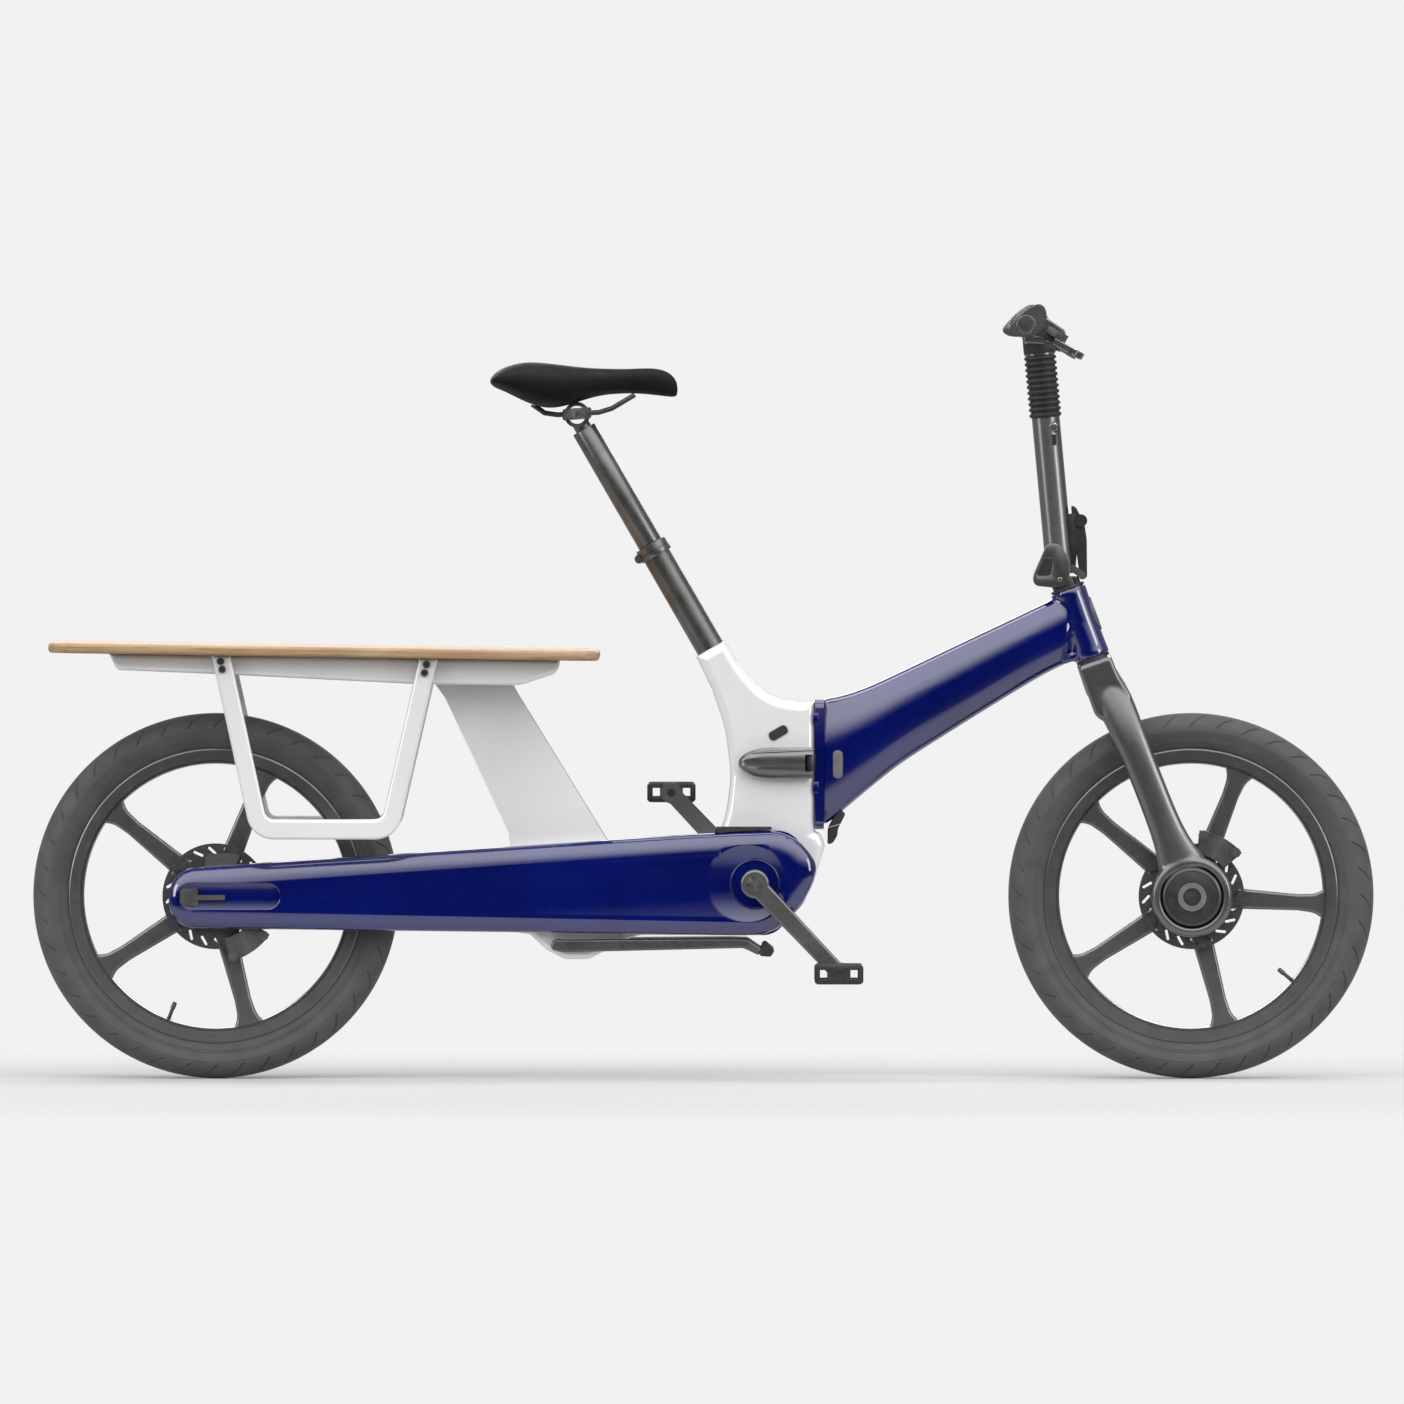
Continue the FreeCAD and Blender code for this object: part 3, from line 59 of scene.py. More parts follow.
# ---- finishes ----------------------------------------------------------------------------------
class Finish:
    """A material under construction: a Principled shader fed by noise on object coordinates."""

    def __init__(self, name, colour, roughness, metallic=0.0, coat=0.0, sheen=0.0, specular=0.5):
        self.material = bpy.data.materials.new(name)
        self.material.use_nodes = True
        self.nodes = self.material.node_tree.nodes
        self.links = self.material.node_tree.links
        self.shader = self.nodes["Principled BSDF"]
        self.shader.inputs["Base Color"].default_value = (*colour, 1)
        self.shader.inputs["Roughness"].default_value = roughness
        self.shader.inputs["Metallic"].default_value = metallic
        self.shader.inputs["Specular IOR Level"].default_value = specular
        self.shader.inputs["Coat Weight"].default_value = coat
        self.shader.inputs["Coat Roughness"].default_value = 0.04
        self.shader.inputs["Coat IOR"].default_value = 1.9
        self.shader.inputs["Sheen Weight"].default_value = sheen
        self.shader.inputs["Sheen Roughness"].default_value = 0.4
        self.coordinates = self.nodes.new("ShaderNodeTexCoord")
        self.bump = None

    def stretched(self, scale):
        mapping = self.nodes.new("ShaderNodeMapping")
        mapping.inputs["Scale"].default_value = scale
        self.links.new(self.coordinates.outputs["Object"], mapping.inputs["Vector"])
        return mapping.outputs["Vector"]

    def noise(self, scale, detail=4.0, rough=0.5, stretch=(1, 1, 1), distortion=0.0):
        texture = self.nodes.new("ShaderNodeTexNoise")
        texture.inputs["Scale"].default_value = scale
        texture.inputs["Detail"].default_value = detail
        texture.inputs["Roughness"].default_value = rough
        texture.inputs["Distortion"].default_value = distortion
        self.links.new(self.stretched(stretch), texture.inputs["Vector"])
        return texture.outputs["Fac"]

    def cells(self, scale, feature="F1", stretch=(1, 1, 1)):
        texture = self.nodes.new("ShaderNodeTexVoronoi")
        texture.feature = feature
        texture.inputs["Scale"].default_value = scale
        self.links.new(self.stretched(stretch), texture.inputs["Vector"])
        return texture.outputs["Distance"]

    def ranged(self, source, low, high, floor=0.3, ceiling=0.7):
        node = self.nodes.new("ShaderNodeMapRange")
        node.inputs["From Min"].default_value = floor
        node.inputs["From Max"].default_value = ceiling
        node.inputs["To Min"].default_value = low
        node.inputs["To Max"].default_value = high
        self.links.new(source, node.inputs["Value"])
        return node.outputs["Result"]

    def ramp(self, source, *stops):
        node = self.nodes.new("ShaderNodeValToRGB")
        for place, colour in stops[2:]:
            node.color_ramp.elements.new(place)
        for element, (place, colour) in zip(node.color_ramp.elements, sorted(stops)):
            element.position = place
            element.color = (*colour, 1)
        self.links.new(source, node.inputs["Fac"])
        return node.outputs["Color"]

    def mixed(self, share, first, second):
        node = self.nodes.new("ShaderNodeMix")
        node.data_type = "RGBA"
        for socket, value in ((node.inputs["Factor"], share), (node.inputs["A"], first),
                              (node.inputs["B"], second)):
            if isinstance(value, bpy.types.NodeSocket):
                self.links.new(value, socket)
            else:
                socket.default_value = value if isinstance(value, float) else (*value, 1)
        return node.outputs["Result"]

    def colour(self, source):
        self.links.new(source, self.shader.inputs["Base Color"])

    def roughness(self, source, low, high):
        self.links.new(self.ranged(source, low, high), self.shader.inputs["Roughness"])

    def relief(self, source, depth, strength=1.0, coat=False):
        """Adds a layer of bump, depth in metres, over the layers before it."""
        node = self.nodes.new("ShaderNodeBump")
        node.inputs["Distance"].default_value = depth
        node.inputs["Strength"].default_value = strength
        self.links.new(source, node.inputs["Height"])
        if self.bump:
            self.links.new(self.bump, node.inputs["Normal"])
        self.bump = node.outputs["Normal"]
        self.links.new(self.bump, self.shader.inputs["Normal"])
        if coat:
            self.links.new(self.bump, self.shader.inputs["Coat Normal"])

    def worn_edges(self, base, light, amount):
        """Lets a lighter tone show where the surface turns sharply."""
        geometry = self.nodes.new("ShaderNodeNewGeometry")
        edge = self.ranged(geometry.outputs["Pointiness"], 0.0, amount, 0.52, 0.62)
        return self.mixed(edge, base, light)


def painted(name, colour, variation, peel):
    """Sprayed gloss lacquer: faint orange peel, slight unevenness in colour and gloss."""
    paint = Finish(name, colour, 0.22, coat=1.0, specular=0.1)
    cloud = paint.noise(9.0, 3.0)
    darker = tuple(c * (1 - variation) for c in colour)
    paint.colour(paint.ramp(cloud, (0.3, darker), (0.7, colour)))
    paint.roughness(paint.noise(60.0, 5.0), 0.18, 0.28)
    paint.relief(paint.noise(420.0, 2.0), peel, 0.35, coat=True)
    return paint.material


def cast_metal(name, colour, low, high, grain=900.0, depth=0.00006, metallic=0.75, coat=0.0):
    """Bead-blasted or powder-coated casting: fine grain, soft patches, pale edges."""
    metal = Finish(name, colour, high, metallic, coat=coat)
    metal.shader.inputs["Coat Roughness"].default_value = 0.24
    patches = metal.noise(28.0, 5.0)
    lighter = tuple(min(1.0, c * 1.35) for c in colour)
    base = metal.ramp(patches, (0.32, colour), (0.72, lighter))
    metal.colour(metal.worn_edges(base, tuple(min(1.0, c * 2.6 + 0.03) for c in colour), 0.35))
    metal.roughness(metal.noise(120.0, 4.0), low, high)
    metal.relief(metal.noise(grain, 3.0), depth, 0.6)
    return metal.material


def moulded(name, colour, low, high, grain=1400.0, depth=0.00008, sheen=0.0):
    """Rubber or plastic from a mould: spark-eroded grain with a few shinier rubbed patches."""
    stuff = Finish(name, colour, high, sheen=sheen)
    patches = stuff.noise(35.0, 4.0)
    stuff.colour(stuff.ramp(patches, (0.3, colour), (0.75, tuple(c * 1.5 for c in colour))))
    stuff.roughness(stuff.noise(70.0, 5.0), low, high)
    stuff.relief(stuff.cells(grain), depth, 0.5)
    stuff.relief(stuff.noise(grain * 0.4, 3.0), depth, 0.4)
    return stuff.material


def oak():
    """Oiled oak veneer: long grain streaks, darker pores, a few broad staves."""
    wood = Finish("oiled oak", (0.5, 0.32, 0.17), 0.45)
    streak = wood.noise(26.0, 8.0, 0.62, stretch=(0.28, 6.0, 6.0), distortion=0.6)
    base = wood.ramp(streak, (0.28, (0.22, 0.125, 0.062)), (0.5, (0.37, 0.245, 0.135)),
                     (0.72, (0.48, 0.34, 0.21)))
    pores = wood.noise(420.0, 2.0, 0.5, stretch=(0.05, 1.0, 1.0))
    pore_share = wood.ranged(pores, 0.0, 0.55, 0.60, 0.72)
    with_pores = wood.mixed(pore_share, base, (0.17, 0.085, 0.035))
    staves = wood.nodes.new("ShaderNodeTexWhiteNoise")
    staves.noise_dimensions = "1D"
    separate = wood.nodes.new("ShaderNodeSeparateXYZ")
    wood.links.new(wood.stretched((1, 25.0, 1)), separate.inputs["Vector"])
    floor = wood.nodes.new("ShaderNodeMath")
    floor.operation = "FLOOR"
    wood.links.new(separate.outputs["Y"], floor.inputs[0])
    wood.links.new(floor.outputs[0], staves.inputs["W"])
    tone = wood.ranged(staves.outputs["Value"], 0.0, 0.28, 0.0, 1.0)
    wood.colour(wood.mixed(tone, with_pores, (0.36, 0.20, 0.09)))
    wood.roughness(streak, 0.38, 0.55)
    wood.relief(pores, 0.0002, 0.5)
    wood.relief(streak, 0.0003, 0.35)
    return wood.material


def disc_steel():
    """Ground stainless steel: rings of fine scratches round both axles."""
    steel = Finish("ground disc steel", (0.075, 0.075, 0.08), 0.4, 0.9)
    scratch = steel.noise(900.0, 3.0, stretch=(1, 0.05, 1))
    steel.colour(steel.ramp(scratch, (0.35, (0.055, 0.055, 0.058)), (0.65, (0.12, 0.12, 0.125))))
    steel.roughness(scratch, 0.3, 0.5)
    steel.relief(scratch, 0.00003, 0.5)
    return steel.material


def saddle_skin():
    """Matte black microfibre: leather-like grain with a soft sheen."""
    skin = Finish("saddle microfibre", (0.007, 0.007, 0.008), 0.6, specular=0.12)
    patches = skin.noise(22.0, 4.0)
    skin.colour(skin.ramp(patches, (0.3, (0.004, 0.004, 0.005)), (0.7, (0.008, 0.008, 0.009))))
    skin.roughness(skin.noise(60.0, 4.0), 0.48, 0.62)
    skin.relief(skin.cells(700.0, "DISTANCE_TO_EDGE"), 0.00015, 0.5)
    skin.relief(skin.noise(300.0, 3.0), 0.0001, 0.4)
    return skin.material


FINISHES = {
    "white_paint": painted("gloss white paint", (0.72, 0.72, 0.725), 0.04, 0.00004),
    "blue_paint": painted("deep blue paint", (0.0008, 0.0050, 0.115), 0.35, 0.00003),
    "deck_wood": oak(),
    "dark_cast": cast_metal("dark cast metal", (0.070, 0.070, 0.071), 0.32, 0.42, coat=0.9),
    "black_anodised": cast_metal("black anodised metal", (0.12, 0.12, 0.117), 0.26, 0.34,
                                 1600.0, 0.000004, 0.85),
    "dark_steel": cast_metal("dark steel", (0.060, 0.060, 0.062), 0.30, 0.42, 700.0, 0.00004, 0.9),
    "bright_steel": cast_metal("bright steel", (0.34, 0.34, 0.35), 0.18, 0.30, 500.0, 0.00002,
                               1.0),
    "rotor_steel": disc_steel(),
    "pad_compound": moulded("brake pad compound", (0.045, 0.035, 0.03), 0.8, 0.95, 900.0, 0.0003),
    "tyre_rubber": moulded("tyre rubber", (0.048, 0.048, 0.049), 0.62, 0.80, 900.0, 0.0001, 0.08),
    "black_rubber": moulded("black rubber", (0.012, 0.012, 0.013), 0.50, 0.66, 1200.0),
    "grey_rubber": moulded("grey rubber", (0.075, 0.076, 0.080), 0.55, 0.70, 1200.0),
    "grip_rubber": moulded("grip rubber", (0.032, 0.032, 0.034), 0.55, 0.72, 800.0, 0.00006),
    "black_plastic": moulded("black plastic", (0.012, 0.012, 0.012), 0.34, 0.48, 1500.0,
                             0.00005),
    "grey_plastic": moulded("grey plastic", (0.10, 0.10, 0.105), 0.38, 0.50, 1500.0, 0.00005),
    "saddle_cover": saddle_skin(),
}

for row in frame["record"]["subparts"]:
    node = frame["nodes"][row["node"]]
    node.data.materials.clear()
    node.data.materials.append(FINISHES[row["material_slot"]])


# ---- modelling helpers: side-view millimetres in, metres out ------------------------------------
SAME_SPOT = 0.05 * MM
CORNER_SHARE = 0.46  # of the shorter edge beside a corner, so that two corners never meet


def deselect():
    bpy.ops.object.select_all(action="DESELECT")


def alone(piece):
    """Makes a piece the active one and the only one selected."""
    deselect()
    piece.select_set(True)
    bpy.context.view_layer.objects.active = piece


def pen(points):
    """Starts a mesh in edit mode and draws an open chain of edges through the points."""
    deselect()
    bpy.ops.mesh.primitive_plane_add(size=0.01, enter_editmode=True)
    bpy.ops.mesh.select_mode(type="VERT")
    bpy.ops.mesh.merge(type="CENTER")
    last = Vector((0, 0, 0))
    for i, point in enumerate(points):
        place = Vector(point) * MM
        if i == 0:
            bpy.ops.transform.translate(value=place - last)
        else:
            bpy.ops.mesh.extrude_region_move(TRANSFORM_OT_translate={"value": place - last})
        last = place
    return bpy.context.object


def choose(piece, wanted, kind="verts"):
    """Selects, in edit mode, the vertices, edges or faces for which wanted(item) is true."""
    bpy.ops.mesh.select_all(action="DESELECT")
    bpy.ops.mesh.select_mode(type={"verts": "VERT", "edges": "EDGE", "faces": "FACE"}[kind])
    mesh = bmesh.from_edit_mesh(piece.data)
    for item in getattr(mesh, kind):
        if wanted(item):
            item.select_set(True)
    mesh.select_flush_mode()
    bmesh.update_edit_mesh(piece.data)


def close_up(piece):
    """Joins the two ends of a drawn chain."""
    mesh = bmesh.from_edit_mesh(piece.data)
    ends = {v.index for v in mesh.verts if len(v.link_edges) == 1}
    choose(piece, lambda v: v.index in ends)
    bpy.ops.mesh.edge_face_add()


def clean(gap=0.00002):
    bpy.ops.mesh.select_all(action="SELECT")
    bpy.ops.mesh.remove_doubles(threshold=gap)
    bpy.ops.mesh.normals_make_consistent(inside=False)


def modify(piece, kind, **settings):
    modifier = piece.modifiers.new(kind.lower(), kind)
    for key, value in settings.items():
        setattr(modifier, key, value)
    bpy.context.view_layer.objects.active = piece
    bpy.ops.object.modifier_apply(modifier=modifier.name)


def rounded(piece, width, steps=3, angle=35):
    modify(piece, "BEVEL", width=width * MM, segments=steps, limit_method="ANGLE",
           angle_limit=math.radians(angle), harden_normals=False)


def smoothed(piece, levels=2):
    modify(piece, "SUBSURF", levels=levels, render_levels=levels)


def done(piece, name, body, slot, replaced=(), crease=35):
    """Names a finished piece, shades it, and hands it to its body and its finish."""
    if bpy.context.mode != "OBJECT":
        bpy.ops.object.mode_set(mode="OBJECT")
    alone(piece)
    bpy.ops.object.transform_apply(location=True, rotation=True, scale=True)
    bpy.ops.object.shade_smooth_by_angle(angle=math.radians(crease))
    piece.name = name
    piece.data.materials.clear()
    piece.data.materials.append(FINISHES[slot])
    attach(piece, body)
    if replaced:
        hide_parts(*replaced)
    return piece


def to_object():
    bpy.ops.object.mode_set(mode="OBJECT")
    return bpy.context.object


def spun(profile, centre, steps=96):
    """Spins (radius, y) points round an axle; a chain that ends off the axle is closed."""
    piece = pen([(centre[0] + r, y, centre[1]) for r, y in profile])
    if profile[0][0] > 0.01 or profile[-1][0] > 0.01:
        close_up(piece)
    bpy.ops.mesh.select_all(action="SELECT")
    bpy.ops.mesh.spin(steps=steps, angle=FULL_TURN, center=(centre[0] * MM, 0, centre[1] * MM),
                      axis=(0, 1, 0), use_auto_merge=True)
    clean()
    return to_object()


def slab(points, y0, y1, corners=(), steps=5):
    """A side-view outline with some corners rounded, extruded from y0 to y1."""
    spots = [Vector((x, y0, z)) * MM for x, z in points]
    piece = pen([(x, y0, z) for x, z in points])
    close_up(piece)
    bpy.ops.mesh.select_all(action="SELECT")
    bpy.ops.mesh.edge_face_add()
    for i, reach in enumerate(corners):
        before, after = spots[i - 1], spots[(i + 1) % len(spots)]
        shorter = min((spots[i] - before).length, (spots[i] - after).length)
        if reach:
            choose(piece, lambda v: (v.co - spots[i]).length < SAME_SPOT)
            bpy.ops.mesh.bevel(offset=min(reach * MM, CORNER_SHARE * shorter),
                               offset_type="OFFSET", segments=steps, affect="VERTICES")
    bpy.ops.mesh.select_all(action="SELECT")
    bpy.ops.mesh.extrude_region_move(TRANSFORM_OT_translate={"value": (0, (y1 - y0) * MM, 0)})
    clean()
    return to_object()


def turn(degrees, axis, centre):
    """Rotates the selection the right-handed way about a point, with no window to ask."""
    bpy.ops.transform.rotate(value=-math.radians(degrees), orient_axis=axis,
                             orient_type="GLOBAL", center_override=centre)


def lofted(stations, sides=12, square=1.0):
    """Extrudes a ring of vertices through (x, y, z, pitch, half height, half width) stations.

    The ring starts facing +X; pitch turns it about Y, and square pushes its corners out."""
    deselect()
    bpy.ops.mesh.primitive_circle_add(vertices=sides, radius=MM, fill_type="NGON",
                                      rotation=(0, math.pi / 2, 0))
    bpy.ops.object.transform_apply(location=True, rotation=True, scale=True)
    piece = bpy.context.object
    bpy.ops.object.mode_set(mode="EDIT")
    choose(piece, lambda v: min(abs(v.co.y), abs(v.co.z)) > 0.35 * MM)
    bpy.ops.transform.resize(value=(1, square, square), center_override=(0, 0, 0))
    bpy.ops.mesh.select_all(action="SELECT")
    place, pitch, high, wide = Vector((0, 0, 0)), 0.0, 1.0, 1.0
    for i, (x, y, z, new_pitch, new_high, new_wide) in enumerate(stations):
        new_place = Vector((x, y, z)) * MM
        if i:
            bpy.ops.mesh.extrude_region_move()
        bpy.ops.transform.translate(value=new_place - place)
        if pitch:
            turn(-pitch, "Y", new_place)
        bpy.ops.transform.resize(value=(1, new_wide / wide, new_high / high),
                                 center_override=new_place)
        if new_pitch:
            turn(new_pitch, "Y", new_place)
        place, pitch, high, wide = new_place, new_pitch, new_high, new_wide
    clean()
    return to_object()


def merged_copy(node_name):
    """A copy of a CAD node with its loose triangles merged, to be worked on further."""
    deselect()
    piece = frame["nodes"][node_name].copy()
    piece.data = piece.data.copy()
    bpy.context.collection.objects.link(piece)
    place = piece.matrix_world.copy()
    piece.parent = None
    piece.matrix_world = place
    alone(piece)
    bpy.ops.object.mode_set(mode="EDIT")
    bpy.ops.mesh.select_all(action="SELECT")
    bpy.ops.mesh.remove_doubles(threshold=0.00001)
    return to_object()


def boxed(low, high):
    """A box between two corners, used as a cutter or to be shaped further."""
    deselect()
    size = [h - l for l, h in zip(low, high)]
    bpy.ops.mesh.primitive_cube_add(size=MM, scale=size,
                                    location=[(l + h) / 2 * MM for l, h in zip(low, high)])
    bpy.ops.object.transform_apply(location=True, rotation=True, scale=True)
    return bpy.context.object


def cut(piece, *cutters):
    """Takes each cutter's volume out of the piece, and removes the cutter."""
    for cutter in cutters:
        modify(piece, "BOOLEAN", operation="DIFFERENCE", object=cutter, solver="EXACT")
        bpy.data.objects.remove(cutter)
    return piece


def crowned(piece, steps):
    """Raises the near face of a slab in shrinking steps, like a shallow dome."""
    alone(piece)
    bpy.ops.object.mode_set(mode="EDIT")
    choose(piece, lambda f: f.normal.y < -0.9, "faces")
    for inward, outward in steps:
        bpy.ops.mesh.inset(thickness=inward * MM, depth=outward * MM, use_even_offset=True)
    clean()
    return to_object()


def pitch_of(way):
    """The turn about Y, in degrees, that points +X along a direction in the side view."""
    return math.degrees(math.atan2(-way.z, way.x))


def joined(*pieces):
    deselect()
    for piece in pieces:
        piece.select_set(True)
    bpy.context.view_layer.objects.active = pieces[0]
    bpy.ops.object.join()
    return bpy.context.object


# ---- tyres -------------------------------------------------------------------------------------
TYRE_SIDE = [(206.4, 11.7), (206.6, 15.0), (209.0, 17.8), (213.0, 20.6), (215.5, 21.6),
             (216.3, 22.5), (217.1, 22.0), (218.6, 22.7), (219.4, 23.5), (220.2, 23.0),
             (224.0, 24.6), (229.0, 26.0), (232.0, 26.5), (232.6, 25.9), (236.5, 25.6),
             (243.0, 22.2), (248.5, 17.0), (252.5, 11.0), (254.9, 5.5)]
TYRE_INSIDE = [(252.0, 4.0), (247.0, 10.0), (240.0, 18.0), (230.0, 21.0), (215.0, 15.0),
               (199.0, 8.5), (197.5, 10.8)]
TREAD_STEPS = 360
SLIT_EVERY = 9
SLIT_LOW, SLIT_HIGH, SLIT_SIDE = 236.0, 251.0, 12 * MM


def tyre(name, body, node, axle):
    """A slick road tyre: bead ribs, a shoulder line, and slanted slits across the shoulders."""
    outside = TYRE_SIDE + [(255.7, 0.0)] + [(r, -y) for r, y in reversed(TYRE_SIDE)]
    inside = [(r, -y) for r, y in reversed(TYRE_INSIDE)] + TYRE_INSIDE
    piece = spun(outside + inside, axle, TREAD_STEPS)
    bpy.ops.object.mode_set(mode="EDIT")
    hub = Vector((axle[0], 0, axle[1])) * MM

    def about_axle(point):
        away = point - hub
        return math.hypot(away.x, away.z) / MM, math.degrees(math.atan2(away.z, away.x)) % 360

    def slit(face):
        middle = face.calc_center_median()
        radius, angle = about_axle(middle)
        if not SLIT_LOW < radius < SLIT_HIGH or abs(middle.y) < SLIT_SIDE:
            return False
        step = int(angle * TREAD_STEPS / 360)
        return step % SLIT_EVERY == (0 if middle.y < 0 else SLIT_EVERY // 2)

    def outer(face):
        return about_axle(face.calc_center_median())[0] > 190 and face.normal.dot(
            face.calc_center_median() - hub) > 0

    choose(piece, lambda f: slit(f) and outer(f), "faces")
    bpy.ops.mesh.inset(thickness=0.0013, depth=-0.0014, use_individual=False)
    for reach, degrees in ((238.0, 1.4), (246.0, 1.6), (250.5, 1.8)):
        choose(piece, lambda v: about_axle(v.co)[0] > reach)
        turn(degrees, "Y", hub)
    to_object()
    return done(piece, name, body, "tyre_rubber", (node,), 40)


tyre("rear_tyre_tread", "rear_wheel", "rear_tyre", REAR_AXLE)
tyre("front_tyre_tread", "front_wheel", "front_tyre", FRONT_AXLE)


# ---- saddle ------------------------------------------------------------------------------------
def saddle():
    """The padded saddle: a broad tail, a long nose that drops at the tip, a shallow channel."""
    #  x, centre z, half height, half width
    ribs = [(-298.5, 976, 2.5, 40), (-294, 977, 9, 60), (-283, 978.5, 15.5, 71),
            (-265, 977, 25, 78), (-245, 973.5, 32, 80), (-220, 968.5, 35, 77),
            (-195, 968.5, 32, 67), (-165, 972, 24.5, 50), (-135, 976, 19, 37),
            (-105, 977, 17.5, 28), (-75, 976.5, 19, 22), (-52, 973, 18.5, 19),
            (-40, 967.5, 14, 14.5), (-36, 964, 7, 8)]
    piece = lofted([(x, 0, z, 0, high, wide) for x, z, high, wide in ribs], 16, 1.06)
    bpy.ops.object.mode_set(mode="EDIT")
    # The underside is drawn up, so that the skirt hangs below a hollow belly.
    choose(piece, lambda v: v.co.z < 0.960 and abs(v.co.y) < 0.020
           and -0.27 < v.co.x < -0.15 and v.normal.z < -0.4)
    bpy.ops.transform.translate(value=(0, 0, 0.013))
    choose(piece, lambda v: v.co.z > 0.975 and abs(v.co.y) < 0.002 and -0.27 < v.co.x < -0.09)
    bpy.ops.transform.translate(value=(0, 0, -0.0035))
    to_object()
    smoothed(piece, 3)
    done(piece, "saddle_cover_skin", "saddle", "saddle_cover", ("saddle",), 80)
    return piece


saddle()


# ---- seat posts ----------------------------------------------------------------------------------
SEAT_MOUTH, SEAT_WAY = Vector((9.8, 0, 602.4)), Vector((-0.5, 0, math.cos(math.radians(30))))
CLAMP_LUG = (-90.0, 727.2)


def on_post(distance, radius):
    """A ring round the seat posts' common line, for lofted."""
    return (*(SEAT_MOUTH + SEAT_WAY * distance), -120, radius, radius)


def seat_posts():
    """The lower post with its clamp collar and lug, and the upper post's sleeve."""
    lower = [(-84, 20.0), (149.6, 20.0), (149.8, 22.4), (150.6, 23.0), (157.6, 23.0),
             (158.0, 22.2), (158.6, 22.2), (159.0, 23.0), (167.4, 23.0), (168.0, 22.4),
             (168.1, 17.8), (-78, 17.8)]
    tube = lofted([on_post(d, r) for d, r in lower], 64)
    done(tube, "seatpost_lower_tube", "lower_post", "black_anodised", ("seatpost_lower",), 40)
    lug = spun([(0, -9), (5.6, -9), (6.5, -8.1), (6.5, 8.1), (5.6, 9), (0, 9)],
               CLAMP_LUG, 32)
    done(lug, "seatpost_clamp_lug", "lower_post", "black_anodised", (), 40)
    sleeve = lofted([on_post(d, 17.5) for d in (160, 353.5)], 64)
    rounded(sleeve, 0.8, 2, 40)
    done(sleeve, "seatpost_upper_sleeve", "upper_post", "black_anodised", (), 40)


seat_posts()


# ---- castings ------------------------------------------------------------------------------------
def melted(piece, voxel, rounds, factor=0.5):
    """Fuses overlapping shells into one skin and softens the creases, like a casting."""
    modify(piece, "REMESH", mode="VOXEL", voxel_size=voxel * MM, use_smooth_shade=True)
    modify(piece, "SMOOTH", factor=factor, iterations=rounds)
    return piece


HEAD_FOOT, HEAD_TOP = Vector((545.2, 0, 588.4)), Vector((509.9, 0, 685.7))
HEAD_WAY = (HEAD_TOP - HEAD_FOOT).normalized()
HEAD_PITCH = pitch_of(HEAD_WAY)


def front_spar():
    """The blue spar: deep at the joint, drawn in to the head tube, crowned on both flanks."""
    #  x, top, bottom, half width
    ribs = [(160, 530.0, 352.5, 31), (172, 531.5, 356.5, 31.5), (190, 534.5, 371.0, 31.5),
            (215, 542.0, 392.5, 31), (245, 554.5, 417.0, 30.5), (275, 569.0, 441.0, 30),
            (310, 585.5, 463.5, 29), (345, 602.5, 485.5, 28.5), (380, 619.0, 507.5, 28),
            (430, 642.5, 538.5, 27), (478, 665.5, 567.5, 26), (503, 677.0, 579.0, 25),
            (516, 681.0, 586.0, 23)]
    spar = lofted([(x, 0, (top + low) / 2, 0, (top - low) / 2 * 1.01, wide * 1.02)
                   for x, top, low, wide in ribs], 16, 1.08)
    smoothed(spar, 2)
    collar = [(0.0, 24.6), (0.06, 25.2), (0.14, 24.6), (0.5, 24.0), (0.86, 24.6), (0.94, 25.2),
              (1.0, 24.6)]
    tube = lofted([(*HEAD_FOOT.lerp(HEAD_TOP, t), HEAD_PITCH, r, r) for t, r in collar], 48)
    lip = slab([(498, 590), (504, 579.5), (522, 586), (530, 598)], -13, 13, (2, 2, 2, 2))
    piece = melted(joined(spar, tube, lip), 2.4, 14)
    return done(piece, "front_spar_casting", "front_frame", "blue_paint", ("front_frame",), 60)


def joint_flange():
    """The machined flange of the joint, with the recess that shows the battery's end."""
    deselect()
    bpy.ops.mesh.primitive_cube_add(size=MM, location=(162.4 * MM, 0, 440 * MM),
                                    scale=(12.2, 67.6, 181))
    bpy.ops.object.transform_apply(location=True, rotation=True, scale=True)
    piece = bpy.context.object
    bpy.ops.object.mode_set(mode="EDIT")
    choose(piece, lambda e: abs(e.verts[0].co.x - e.verts[1].co.x) > 10 * MM, "edges")
    bpy.ops.mesh.bevel(offset=0.012, segments=6, affect="EDGES")
    choose(piece, lambda f: f.normal.x < -0.9, "faces")
    bpy.ops.mesh.inset(thickness=0.0125)
    bpy.ops.transform.resize(value=(1, 1, 0.905))
    bpy.ops.mesh.extrude_region_move(TRANSFORM_OT_translate={"value": (0.0034, 0, 0)})
    piece = to_object()
    rounded(piece, 1.2, 3, 40)
    return done(piece, "joint_flange", "front_frame", "blue_paint")


def flange_step(low, high):
    """A raised pad on the flange's near edge."""
    piece = slab([(153.2, low), (153.2, high), (161, high), (161, low)], -35.4, -30, (2, 2, 0, 0))
    rounded(piece, 0.8)
    return piece


front_spar()
joint_flange()


